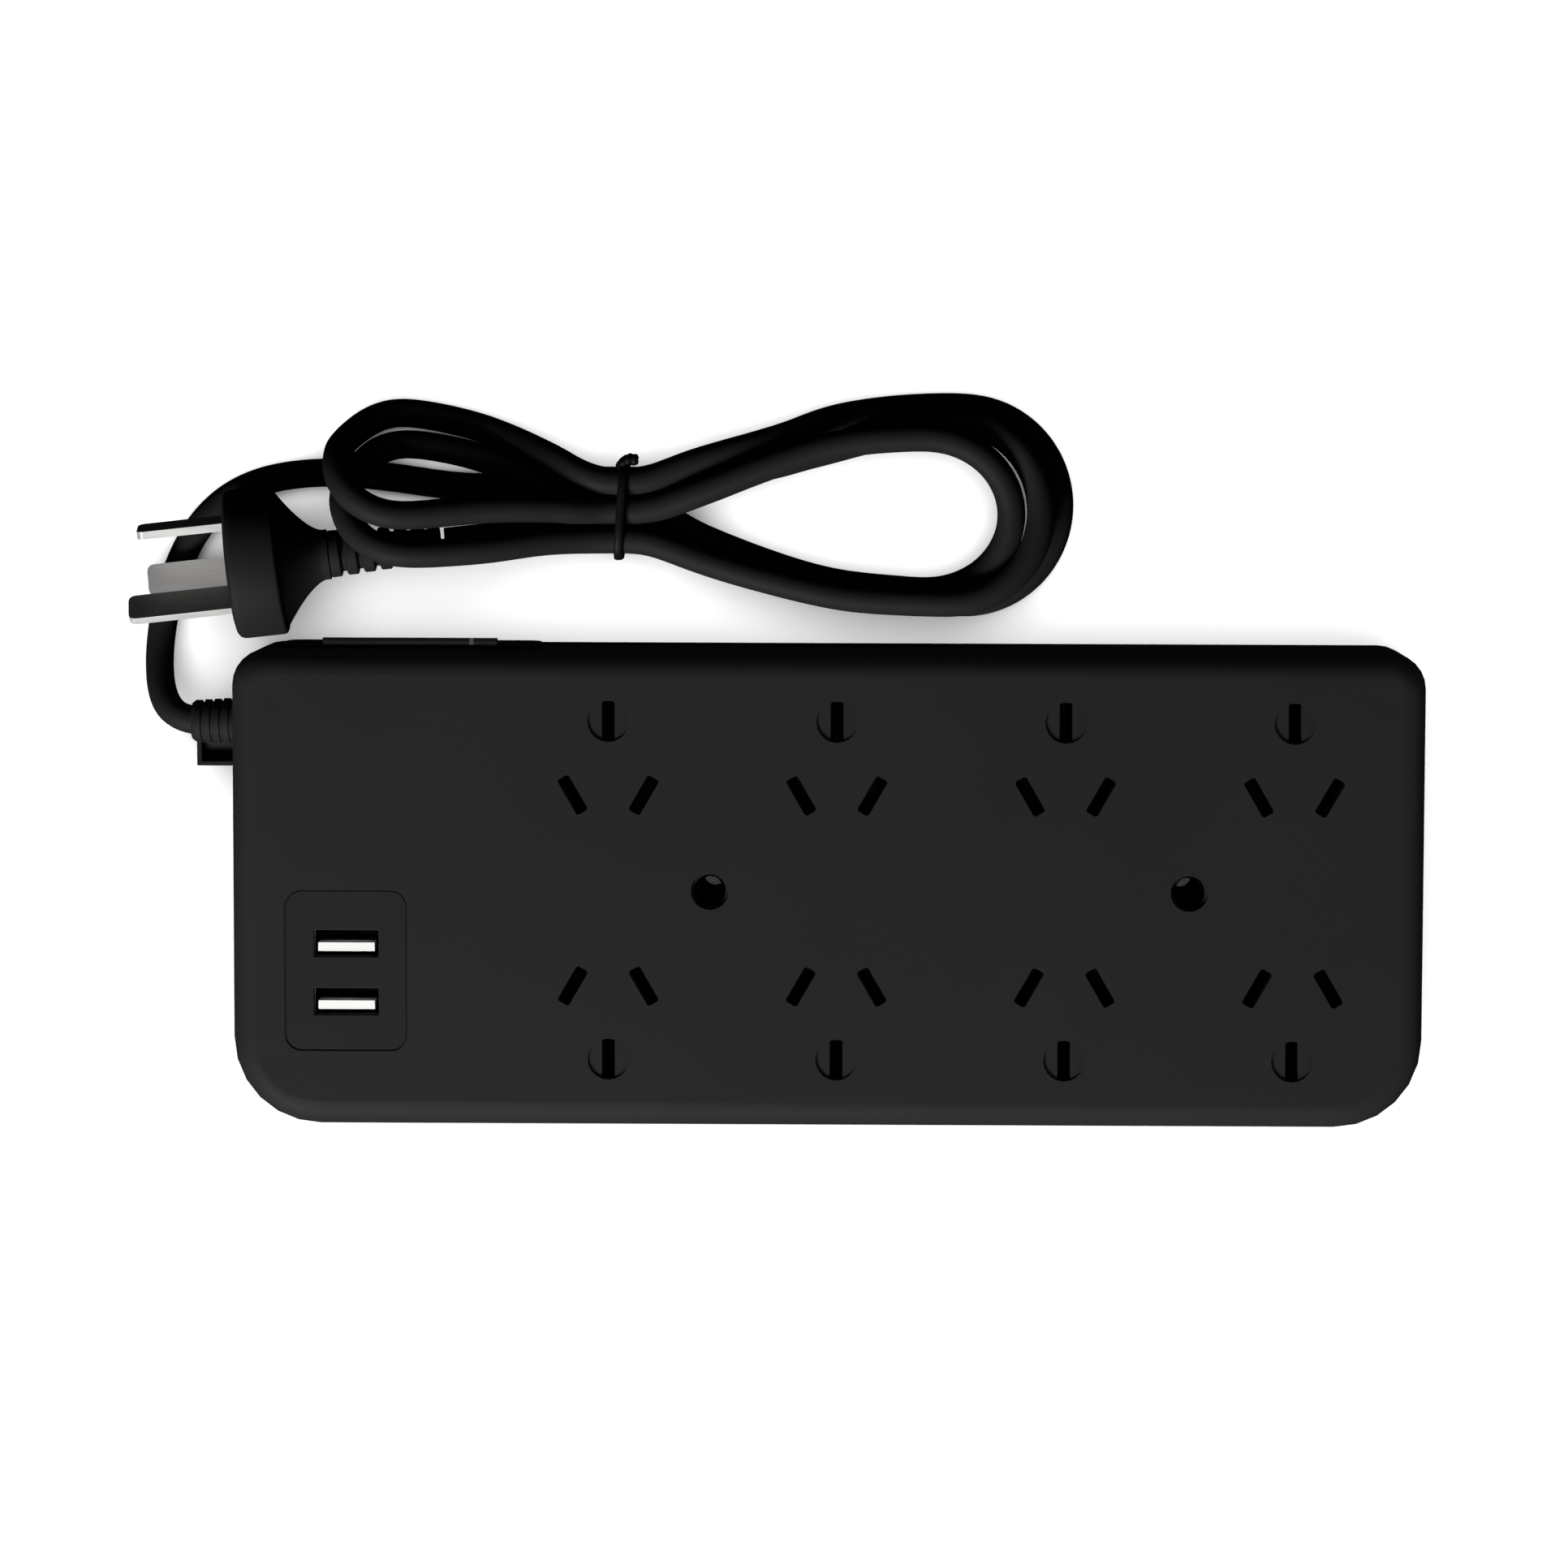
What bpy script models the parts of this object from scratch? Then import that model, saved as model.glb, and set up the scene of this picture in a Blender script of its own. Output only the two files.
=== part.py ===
"""Mains power strip: eight sockets in two rows, two USB ports, a rear rocker switch and a tied flex.

Origin at the bottom centre of the housing, +X along its length towards the end without the flex,
+Y towards the wall with the switch, +Z up out of the sockets. Everything is in metres.
"""

import math

import bmesh
import bpy
import numpy as np
from mathutils import Matrix, Vector

MM = 0.001
GAP = 0.3 * MM  # between pieces that touch or nest

# Housing
BOARD_LENGTH = 231.0 * MM
BOARD_WIDTH = 92.5 * MM
BOARD_TOP = 30.0 * MM
FRONT_CORNER = 17.0 * MM
REAR_CORNER = 7.0 * MM
TOP_FILLET = 5.0 * MM
WALL = 2.2 * MM
TOP_PLATE = 2.5 * MM
BASE_UNDERSIDE = 1.0 * MM
BASE_FLOOR = 2.0 * MM
PARTING_HEIGHT = 7.0 * MM
LIP_THICKNESS = 1.3 * MM
LIP_HEIGHT = 2.5 * MM

# Sockets: two flat slots at sixty degrees either side of the earth slot's opposite, on one circle
COLUMN_PITCH = 44.1 * MM
FIRST_COLUMN_X = -42.4 * MM
COLUMNS = 4
SOCKET_Y = 22.5 * MM
FLAT_PIN_RADIUS = 7.92 * MM
EARTH_PIN_RADIUS = 10.31 * MM
PIN_WIDTH = 6.35 * MM
PIN_THICKNESS = 1.6 * MM
SLOT_LENGTH = 7.8 * MM
SLOT_WIDTH = 2.5 * MM
DISH_DIAMETER = 8.0 * MM
DISH_DEPTH = 0.5 * MM

# Wall-mounting holes
MOUNT_HOLE_X = (-22.8 * MM, 69.8 * MM)
MOUNT_ENTRY_DIAMETER = 7.3 * MM
MOUNT_ENTRY_DEPTH = 1.4 * MM
MOUNT_RECESS_DIAMETER = 6.2 * MM
MOUNT_RECESS_DEPTH = 7.0 * MM
MOUNT_SCREW_DIAMETER = 4.3 * MM
MOUNT_SLEEVE_DIAMETER = 11.0 * MM

# Housing screws, put in from below
SCREW_PLACES = (
    (-106.8 * MM, 37.4 * MM),
    (-57.3 * MM, 37.4 * MM),
    (107.4 * MM, 37.4 * MM),
    (-107.6 * MM, -32.7 * MM),
    (107.4 * MM, -32.7 * MM),
)
SCREW_SHANK = 2.8 * MM
SCREW_HEAD = 5.6 * MM
SCREW_HEAD_HEIGHT = 1.9 * MM
SCREW_LENGTH = 15.0 * MM
SCREW_POCKET_DEPTH = 4.2 * MM
TOP_BOSS_DIAMETER = 6.4 * MM
BASE_BOSS_DIAMETER = 9.4 * MM
BASE_BOSS_TOP = 8.0 * MM

# Feet
FOOT_PLACES = ((-88.0, -28.0), (98.0, -22.0), (-76.0, 26.0), (92.0, 26.0))
FOOT_DIAMETER = 10.0 * MM
FOOT_POCKET_DEPTH = 1.0 * MM

# USB panel and its two sockets
PANEL_CENTRE = (-93.1 * MM, -15.7 * MM)
PANEL_LENGTH = 23.3 * MM
PANEL_WIDTH = 30.9 * MM
PANEL_CORNER = 3.0 * MM
PANEL_THICKNESS = 1.9 * MM
PANEL_SET_BACK = 0.2 * MM
PORT_CENTRES_Y = (-10.5 * MM, -21.8 * MM)
PORT_OPENING = (12.5 * MM, 5.2 * MM)
SHELL_WALL = 0.4 * MM
SHELL_DEPTH = 13.0 * MM
TONGUE_WIDTH = 11.0 * MM
TONGUE_THICKNESS = 1.8 * MM
TONGUE_OFFSET = 0.7 * MM
TONGUE_BELOW_MOUTH = 0.8 * MM
CIRCUIT_BOARD_THICKNESS = 1.6 * MM

# Rear rocker switch, on an axis along X
SWITCH_X = -81.5 * MM
SWITCH_Z = 16.2 * MM
ROCKER_PIVOT_Y = 42.0 * MM
ROCKER_LENGTH = 34.0 * MM
ROCKER_HALF_HEIGHT = 5.3 * MM
ROCKER_REACH = 5.7 * MM
ROCKER_TRAVEL = 14.0
ROCKER_AXLE = 3.0 * MM
ROCKER_AXLE_LENGTH = 1.2 * MM
BEZEL_LENGTH = 50.0 * MM
BEZEL_HALF_HEIGHT = 7.6 * MM
BEZEL_PROUD = 0.8 * MM
BEZEL_POCKET = 0.6 * MM
SWITCH_CASE_WALL = 1.2 * MM
SWITCH_CASE_BACK_Y = 33.0 * MM

# Contacts and busbars
STRIP = 0.6 * MM
CLIP_LENGTH = 6.0 * MM
CLIP_CLEARANCE = 0.1 * MM
FLAT_CLIP = (12.0 * MM, 24.0 * MM)
EARTH_CLIP = (9.0 * MM, 26.4 * MM)
BAR_HEIGHT = 4.5 * MM
LIVE_BAR_Y = 14.2 * MM
NEUTRAL_BAR_Y = 23.2 * MM
EARTH_BAR_Y = 28.4 * MM
BAR_START_X = -54.0 * MM
BAR_END_X = 100.0 * MM

# Flex, strain relief and clamp
FLEX_DIAMETER = 5.6 * MM
GLAND_Y = 31.2 * MM
GLAND_Z = 12.6 * MM
GLAND_TIP_X = -125.0 * MM
GLAND_INNER_X = -111.4 * MM
GLAND_COLLAR = 10.0 * MM
GLAND_ROOT = 9.2 * MM
GLAND_TIP = 8.0 * MM
GLAND_BORE = FLEX_DIAMETER + 2 * GAP
TAIL_END_X = -81.0 * MM
CLAMP_PLACE = (-88.0 * MM, 23.2 * MM, 6.2 * MM)
CLAMP_SPAN = 6.6 * MM
CORE_DIAMETER = 2.0 * MM

# Hank of flex behind the housing, and its tie
TIE_X = -41.0 * MM
TIE_WIDTH = 2.2 * MM
TIE_THICKNESS = 1.2 * MM
WAIST_Y = 72.7 * MM
WAIST_WIDTH = 17.4 * MM
WAIST_HEIGHT = 11.6 * MM
REST_GAP = 0.2 * MM
HANK_HEIGHT = 11.8 * MM

# Plug, lying on its rim with its pins towards -X
PLUG_FACE = Vector((-117.0, 62.0, 15.4)) * MM
PLUG_YAW = math.radians(6.3)
PLUG_PITCH = math.radians(3.5)
FLANGE_RADIUS = 14.6 * MM
FLANGE_OFFSET = 0.8 * MM
FLANGE_THICKNESS = 9.8 * MM
FLANGE_FILLET = 1.4 * MM
CONE_LENGTH = 8.4 * MM
NECK_RADIUS = 4.9 * MM
NECK_LENGTH = 1.0 * MM
RELIEF_LENGTH = 23.0 * MM
RELIEF_ROOT = 4.6 * MM
RELIEF_TIP = 3.7 * MM
RELIEF_RIBS = 7
PIN_TURN = math.radians(133.0)
FLAT_PIN_LENGTH = 17.1 * MM
EARTH_PIN_LENGTH = 19.9 * MM
PIN_ROOT = 4.0 * MM

# Route of the flex from the strain relief to the hank
LEAD_POINTS = (
    (-115.2, 31.2, 12.6),
    (-120.5, 31.2, 12.6),
    (-125.9, 31.2, 12.6),
    (-129.5, 32.7, 11.8),
    (-131.7, 36.8, 9.2),
    (-132.6, 42.5, 6.0),
    (-132.4, 48.9, 3.6),
    (-131.1, 55.6, 3.0),
    (-128.6, 62.6, 3.0),
    (-124.8, 69.4, 3.0),
    (-119.0, 75.0, 3.0),
    (-112.0, 78.2, 3.0),
    (-105.5, 79.4, 3.0),
    (-99.4, 79.8, 3.0),
)

# Hank: the round end of each lobe, and where the plug's relief keeps the left lobe back
RIGHT_LOBE = (27.4 * MM, 73.7 * MM, 22.1 * MM)
LEFT_LOBE = (-87.0 * MM, 82.4 * MM, 11.9 * MM)
RELIEF_SIDE_Y = 71.4 * MM
RELIEF_END_X = -73.8 * MM

board_back = BOARD_WIDTH / 2
board_end = BOARD_LENGTH / 2
case_half_length = ROCKER_LENGTH / 2 + GAP + ROCKER_AXLE_LENGTH + SWITCH_CASE_WALL
window_half_height = ROCKER_HALF_HEIGHT + 1.0 * MM
case_half_height = window_half_height + SWITCH_CASE_WALL
column_places = [FIRST_COLUMN_X + COLUMN_PITCH * i for i in range(COLUMNS)]


# ---------------------------------------------------------------- helpers


def finish(name, colour, roughness, metallic=0.0):
    material = bpy.data.materials.new(name)
    material.use_nodes = True
    shader = material.node_tree.nodes["Principled BSDF"]
    shader.inputs["Base Color"].default_value = (*colour, 1.0)
    shader.inputs["Roughness"].default_value = roughness
    shader.inputs["Metallic"].default_value = metallic
    return material


def place(name, mesh_or_bmesh, material=None):
    """A named object from a mesh, or from a bmesh that this uses up."""
    mesh = mesh_or_bmesh
    if isinstance(mesh_or_bmesh, bmesh.types.BMesh):
        mesh = bpy.data.meshes.new(name)
        bmesh.ops.recalc_face_normals(mesh_or_bmesh, faces=mesh_or_bmesh.faces)
        mesh_or_bmesh.to_mesh(mesh)
        mesh_or_bmesh.free()
        mesh.set_sharp_from_angle(angle=math.radians(35))
    obj = bpy.data.objects.new(name, mesh)
    bpy.context.scene.collection.objects.link(obj)
    if material:
        mesh.materials.append(material)
    return obj


def combine(target, tool, operation):
    """Adds a Boolean to target, and keeps its tool as a hidden guide."""
    tool.hide_render = True
    tool.display_type = "WIRE"
    modifier = target.modifiers.new(f"{operation.lower()} {tool.name}", "BOOLEAN")
    modifier.operation = operation
    modifier.object = tool


def cut(target, *tools):
    for tool in tools:
        combine(target, tool, "DIFFERENCE")


def fuse(target, *tools):
    for tool in tools:
        combine(target, tool, "UNION")


def outline_bmesh(outline, bottom, top):
    """A closed prism on a list of (x, y) points."""
    bm = bmesh.new()
    face = bm.faces.new([bm.verts.new((x, y, bottom)) for x, y in outline])
    raised = bmesh.ops.extrude_face_region(bm, geom=[face])["geom"]
    bmesh.ops.translate(
        bm,
        verts=[v for v in raised if isinstance(v, bmesh.types.BMVert)],
        vec=(0, 0, top - bottom),
    )
    return bm


def box(name, low, high, material=None):
    outline = [(low[0], low[1]), (high[0], low[1]), (high[0], high[1]), (low[0], high[1])]
    return place(name, outline_bmesh(outline, low[2], high[2]), material)


def rounded(low_x, high_x, low_y, high_y, front_radius, rear_radius, steps=6):
    """Outline of a rectangle with round corners: the front pair and the rear pair have their own radii."""
    corners = (
        (high_x - front_radius, low_y + front_radius, front_radius, -90),
        (high_x - rear_radius, high_y - rear_radius, rear_radius, 0),
        (low_x + rear_radius, high_y - rear_radius, rear_radius, 90),
        (low_x + front_radius, low_y + front_radius, front_radius, 180),
    )
    points = []
    for x, y, radius, start in corners:
        for i in range(steps + 1):
            angle = math.radians(start + 90 * i / steps)
            points.append((x + radius * math.cos(angle), y + radius * math.sin(angle)))
    return points


def board_outline(inset):
    """The housing's plan, drawn in by inset."""
    return rounded(
        inset - board_end,
        board_end - inset,
        inset - board_back,
        board_back - inset,
        FRONT_CORNER - inset,
        REAR_CORNER - inset,
    )


def rod(name, start, end, diameter, sides=20, material=None, end_diameter=None):
    """A round bar, or a cone, from start to end."""
    start, end = Vector(start), Vector(end)
    bm = bmesh.new()
    bmesh.ops.create_cone(
        bm,
        cap_ends=True,
        segments=sides,
        radius1=diameter / 2,
        radius2=(end_diameter or diameter) / 2,
        depth=(end - start).length,
    )
    turn = Vector((0, 0, 1)).rotation_difference(end - start).to_matrix().to_4x4()
    bmesh.ops.transform(bm, matrix=Matrix.Translation((start + end) / 2) @ turn, verts=bm.verts)
    return place(name, bm, material)


def turned(name, profile, sides, matrix, material=None):
    """A solid turned about Z from (radius, height) points that start and end on the axis."""
    bm = bmesh.new()
    ring = [bm.verts.new((radius, 0, height)) for radius, height in profile]
    edges = [bm.edges.new(pair) for pair in zip(ring, ring[1:])]
    bmesh.ops.spin(
        bm,
        geom=ring + edges,
        axis=(0, 0, 1),
        cent=(0, 0, 0),
        angle=2 * math.pi,
        steps=sides,
        use_merge=True,
    )
    bmesh.ops.remove_doubles(bm, verts=bm.verts, dist=1e-6)
    bmesh.ops.transform(bm, matrix=matrix, verts=bm.verts)
    return place(name, bm, material)


def smooth_route(points, spacing):
    """Points at an even spacing along a Catmull-Rom curve through the given ones."""
    knots = np.array(points, float)
    knots = np.vstack([2 * knots[0] - knots[1], knots, 2 * knots[-1] - knots[-2]])
    fine = []
    for before, start, end, after in zip(knots, knots[1:], knots[2:], knots[3:]):
        for t in np.linspace(0, 1, 24, endpoint=False):
            fine.append(
                0.5
                * (
                    2 * start
                    + (end - before) * t
                    + (2 * before - 5 * start + 4 * end - after) * t * t
                    + (3 * start - before - 3 * end + after) * t**3
                )
            )
    fine = np.array([*fine, knots[-2]])
    run = np.concatenate([[0], np.cumsum(np.linalg.norm(np.diff(fine, axis=0), axis=1))])
    at = np.linspace(0, run[-1], max(2, round(run[-1] / spacing) + 1))
    return np.stack([np.interp(at, run, fine[:, axis]) for axis in range(3)], axis=1)


def tube(name, points_mm, diameter, material, resolution=2, per_diameter=2.2):
    """A round lead along a smooth curve through hand-placed points."""
    route = smooth_route(np.array(points_mm, float) * MM, diameter * per_diameter)
    curve = bpy.data.curves.new(name, "CURVE")
    curve.dimensions = "3D"
    curve.bevel_depth = diameter / 2
    curve.bevel_resolution = resolution
    curve.use_fill_caps = True
    spline = curve.splines.new("POLY")
    spline.points.add(len(route) - 1)
    for point, (x, y, z) in zip(spline.points, route):
        point.co = (x, y, z, 1)
    curve.materials.append(material)
    obj = bpy.data.objects.new(name, curve)
    bpy.context.scene.collection.objects.link(obj)
    return obj


def about(x, y, degrees):
    return Matrix.Translation((x, y, 0)) @ Matrix.Rotation(math.radians(degrees), 4, "Z")


# ---------------------------------------------------------------- materials

for old in list(bpy.data.objects):
    bpy.data.objects.remove(old)

SHELL_BLACK = finish("housing_black", (0.018, 0.018, 0.019), 0.42)
BEZEL_BLACK = finish("panel_black", (0.012, 0.012, 0.013), 0.38)
FLEX_BLACK = finish("flex_black", (0.012, 0.012, 0.012), 0.5)
FOOT_RUBBER = finish("foot_rubber", (0.03, 0.03, 0.03), 0.85)
NICKEL = finish("pin_nickel", (0.72, 0.71, 0.68), 0.22, 1.0)
BRASS = finish("contact_brass", (0.72, 0.53, 0.24), 0.3, 1.0)
STEEL = finish("screw_steel", (0.45, 0.45, 0.46), 0.35, 1.0)
SHELL_STEEL = finish("port_steel", (0.62, 0.62, 0.63), 0.28, 1.0)
TONGUE_WHITE = finish("tongue_white", (0.86, 0.87, 0.88), 0.4)
BOARD_GREEN = finish("circuit_green", (0.02, 0.16, 0.07), 0.45)
COIL_YELLOW = finish("transformer_tape", (0.75, 0.52, 0.05), 0.5)
CAN_BLUE = finish("capacitor_sleeve", (0.03, 0.06, 0.2), 0.35)
SWITCH_CASE = finish("switch_case", (0.02, 0.02, 0.02), 0.5)
LIVE_BROWN = finish("live_core", (0.16, 0.06, 0.025), 0.45)
NEUTRAL_BLUE = finish("neutral_core", (0.02, 0.09, 0.42), 0.45)
EARTH_GREEN = finish("earth_core", (0.1, 0.4, 0.05), 0.45)


# ---------------------------------------------------------------- slots and holes of the top cover


def socket_matrix(column_x, row):
    """A socket's own frame, with its earth slot towards its own -Y; row is -1 in front and 1 behind."""
    return about(column_x, row * SOCKET_Y, 180 if row > 0 else 0)


def pin_matrices(socket):
    """Where the socket's earth, left and right pins are, each with its wide side along its own Y."""
    across = FLAT_PIN_RADIUS * math.sin(math.radians(60))
    up = FLAT_PIN_RADIUS * math.cos(math.radians(60))
    return (
        socket @ about(0, -EARTH_PIN_RADIUS, 0),
        socket @ about(-across, up, -30),
        socket @ about(across, up, 30),
    )


def moved(bm, matrix):
    bmesh.ops.transform(bm, matrix=matrix, verts=bm.verts)
    return bm


slot_outline = rounded(
    -SLOT_WIDTH / 2, SLOT_WIDTH / 2, -SLOT_LENGTH / 2, SLOT_LENGTH / 2, 0.5 * MM, 0.5 * MM, 2
)
sockets = [(row, i, socket_matrix(x, row)) for row in (-1, 1) for i, x in enumerate(column_places)]

outer = outline_bmesh(board_outline(0), PARTING_HEIGHT + GAP, BOARD_TOP)
top_edges = [e for e in outer.edges if all(abs(v.co.z - BOARD_TOP) < 1e-7 for v in e.verts)]
bmesh.ops.bevel(outer, geom=top_edges, offset=TOP_FILLET, segments=5, profile=0.5, affect="EDGES")
top_cover = place("top_cover", outer, SHELL_BLACK)

inner = outline_bmesh(board_outline(WALL), -BOARD_TOP, BOARD_TOP - TOP_PLATE)
inner_edges = [e for e in inner.edges if all(v.co.z > 0 for v in e.verts)]
inner_fillet = TOP_FILLET - WALL
bmesh.ops.bevel(inner, geom=inner_edges, offset=inner_fillet, segments=3, profile=0.5, affect="EDGES")
cut(top_cover, place("hollow_of_top", inner))

for i, (x, y) in enumerate(SCREW_PLACES):
    boss_foot = BASE_BOSS_TOP + GAP
    boss_head = BOARD_TOP - TOP_PLATE + 0.5 * MM
    fuse(top_cover, rod(f"top_boss_{i}", (x, y, boss_foot), (x, y, boss_head), TOP_BOSS_DIAMETER, 16))
    pilot = SCREW_SHANK + 2 * GAP
    pilot_end = BASE_UNDERSIDE + SCREW_POCKET_DEPTH + SCREW_LENGTH
    cut(top_cover, rod(f"pilot_{i}", (x, y, 0), (x, y, pilot_end + GAP), pilot, 12))

sleeve_foot = BASE_UNDERSIDE + BASE_FLOOR + GAP
for i, x in enumerate(MOUNT_HOLE_X):
    sleeve = ((x, 0, sleeve_foot), (x, 0, BOARD_TOP - 0.5 * MM))
    fuse(top_cover, rod(f"sleeve_{i}", *sleeve, MOUNT_SLEEVE_DIAMETER, 24))
    top, over = (x, 0, BOARD_TOP), (x, 0, 2 * BOARD_TOP)
    entry_floor = (x, 0, BOARD_TOP - MOUNT_ENTRY_DEPTH)
    recess_floor = (x, 0, BOARD_TOP - MOUNT_RECESS_DEPTH)
    cut(
        top_cover,
        rod(f"entry_{i}", entry_floor, over, MOUNT_ENTRY_DIAMETER, 24),
        rod(f"recess_{i}", recess_floor, over, MOUNT_RECESS_DIAMETER, 24),
        rod(f"screw_way_{i}", (x, 0, -BOARD_TOP), over, MOUNT_SCREW_DIAMETER, 20),
    )

for row, i, socket in sockets:
    for kind, pin in zip(("earth", "left", "right"), pin_matrices(socket)):
        slot = moved(outline_bmesh(slot_outline, BOARD_TOP - 2 * TOP_PLATE, 2 * BOARD_TOP), pin)
        cut(top_cover, place(f"slot_{kind}_{row}_{i}", slot))
    dish = pin_matrices(socket)[0].translation
    dish_floor = (dish.x, dish.y, BOARD_TOP - DISH_DEPTH)
    dish_over = (dish.x, dish.y, BOARD_TOP + DISH_DEPTH)
    cut(top_cover, rod(f"dish_{row}_{i}", dish_floor, dish_over, DISH_DIAMETER, 20))


def panel_outline(grow):
    x, y = PANEL_CENTRE
    return rounded(
        x - PANEL_LENGTH / 2 - grow,
        x + PANEL_LENGTH / 2 + grow,
        y - PANEL_WIDTH / 2 - grow,
        y + PANEL_WIDTH / 2 + grow,
        PANEL_CORNER + grow,
        PANEL_CORNER + grow,
        5,
    )


cut(top_cover, place("panel_window", outline_bmesh(panel_outline(GAP), BOARD_TOP / 2, 2 * BOARD_TOP)))

# the switch's flange sits in a shallow pocket, and its case goes in through a window
flange_back = board_back - BEZEL_POCKET + GAP
flange_front = board_back + BEZEL_PROUD
cut(
    top_cover,
    box(
        "case_window",
        (SWITCH_X - case_half_length - GAP, board_back - 2 * WALL, SWITCH_Z - case_half_height - GAP),
        (SWITCH_X + case_half_length + GAP, board_back + WALL, SWITCH_Z + case_half_height + GAP),
    ),
    box(
        "flange_pocket",
        (SWITCH_X - BEZEL_LENGTH / 2 - GAP, board_back - BEZEL_POCKET, SWITCH_Z - BEZEL_HALF_HEIGHT - GAP),
        (SWITCH_X + BEZEL_LENGTH / 2 + GAP, board_back + WALL, SWITCH_Z + BEZEL_HALF_HEIGHT + GAP),
    ),
    rod(
        "gland_hole",
        (-board_end - WALL, GLAND_Y, GLAND_Z),
        (-board_end + 2 * WALL, GLAND_Y, GLAND_Z),
        GLAND_ROOT - 1.6 * MM + 2 * GAP,
        20,
    ),
)


# ---------------------------------------------------------------- base, screws and feet

base_floor_top = BASE_UNDERSIDE + BASE_FLOOR
base_cover = place(
    "base_cover", outline_bmesh(board_outline(0), BASE_UNDERSIDE, PARTING_HEIGHT), SHELL_BLACK
)
lip = outline_bmesh(board_outline(WALL + GAP), base_floor_top, PARTING_HEIGHT + LIP_HEIGHT)
fuse(base_cover, place("lip", lip))
tray = outline_bmesh(board_outline(WALL + GAP + LIP_THICKNESS), base_floor_top, BOARD_TOP)
cut(base_cover, place("hollow_of_base", tray))

# the lip is left out behind the switch's case and round the strain relief's collar
case_room = case_half_length + GAP
collar_room = GLAND_COLLAR / 2 + GAP
cut(
    base_cover,
    box(
        "lip_notch_switch",
        (SWITCH_X - case_room, SWITCH_CASE_BACK_Y, SWITCH_Z - case_half_height - GAP),
        (SWITCH_X + case_room, board_back - WALL, BOARD_TOP),
    ),
    box(
        "lip_notch_gland",
        (WALL - GAP - board_end, GLAND_Y - collar_room, GLAND_Z - collar_room),
        (2 * WALL - board_end, GLAND_Y + collar_room, BOARD_TOP),
    ),
)

screw_head_top = BASE_UNDERSIDE + SCREW_POCKET_DEPTH
for i, (x, y) in enumerate(SCREW_PLACES):
    fuse(
        base_cover,
        rod(f"base_boss_{i}", (x, y, BASE_UNDERSIDE + 0.5 * MM), (x, y, BASE_BOSS_TOP), BASE_BOSS_DIAMETER),
    )
    pocket_top = (x, y, screw_head_top)
    cut(
        base_cover,
        rod(f"head_pocket_{i}", (x, y, -BASE_FLOOR), pocket_top, SCREW_HEAD + 2.4 * GAP, 20),
        rod(f"shank_way_{i}", (x, y, -BASE_FLOOR), (x, y, BOARD_TOP), SCREW_SHANK + 2.4 * GAP, 14),
    )

for i, x in enumerate(MOUNT_HOLE_X):
    way = ((x, 0, -BOARD_TOP), (x, 0, BOARD_TOP))
    cut(base_cover, rod(f"base_screw_way_{i}", *way, MOUNT_SCREW_DIAMETER, 20))

for i, (x, y) in enumerate(FOOT_PLACES):
    pocket = ((x * MM, y * MM, -BASE_FLOOR), (x * MM, y * MM, BASE_UNDERSIDE + FOOT_POCKET_DEPTH))
    cut(base_cover, rod(f"foot_pocket_{i}", *pocket, FOOT_DIAMETER + 2 * GAP, 24))

screw_profile = [
    (0, -SCREW_HEAD_HEIGHT + 0.9 * MM),
    (1.3 * MM, -SCREW_HEAD_HEIGHT + 0.9 * MM),
    (1.4 * MM, -SCREW_HEAD_HEIGHT),
    (SCREW_HEAD / 2 - 0.5 * MM, -SCREW_HEAD_HEIGHT),
    (SCREW_HEAD / 2, -SCREW_HEAD_HEIGHT + 0.6 * MM),
    (SCREW_HEAD / 2, 0),
    (SCREW_SHANK / 2, 0),
    (SCREW_SHANK / 2, SCREW_LENGTH - 1.5 * MM),
    (0, SCREW_LENGTH),
]
for i, (x, y) in enumerate(SCREW_PLACES):
    at = Matrix.Translation((x, y, screw_head_top - GAP))
    turned(f"housing_screw_{i + 1}", screw_profile, 12, at, STEEL)

foot_profile = [
    (0, 0),
    (FOOT_DIAMETER / 2 - 0.4 * MM, 0),
    (FOOT_DIAMETER / 2, 0.4 * MM),
    (FOOT_DIAMETER / 2, BASE_UNDERSIDE + FOOT_POCKET_DEPTH - GAP),
    (0, BASE_UNDERSIDE + FOOT_POCKET_DEPTH - GAP),
]
for i, (x, y) in enumerate(FOOT_PLACES):
    turned(f"foot_{i + 1}", foot_profile, 20, Matrix.Translation((x * MM, y * MM, 0)), FOOT_RUBBER)


# ---------------------------------------------------------------- USB panel, sockets and supply

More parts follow.
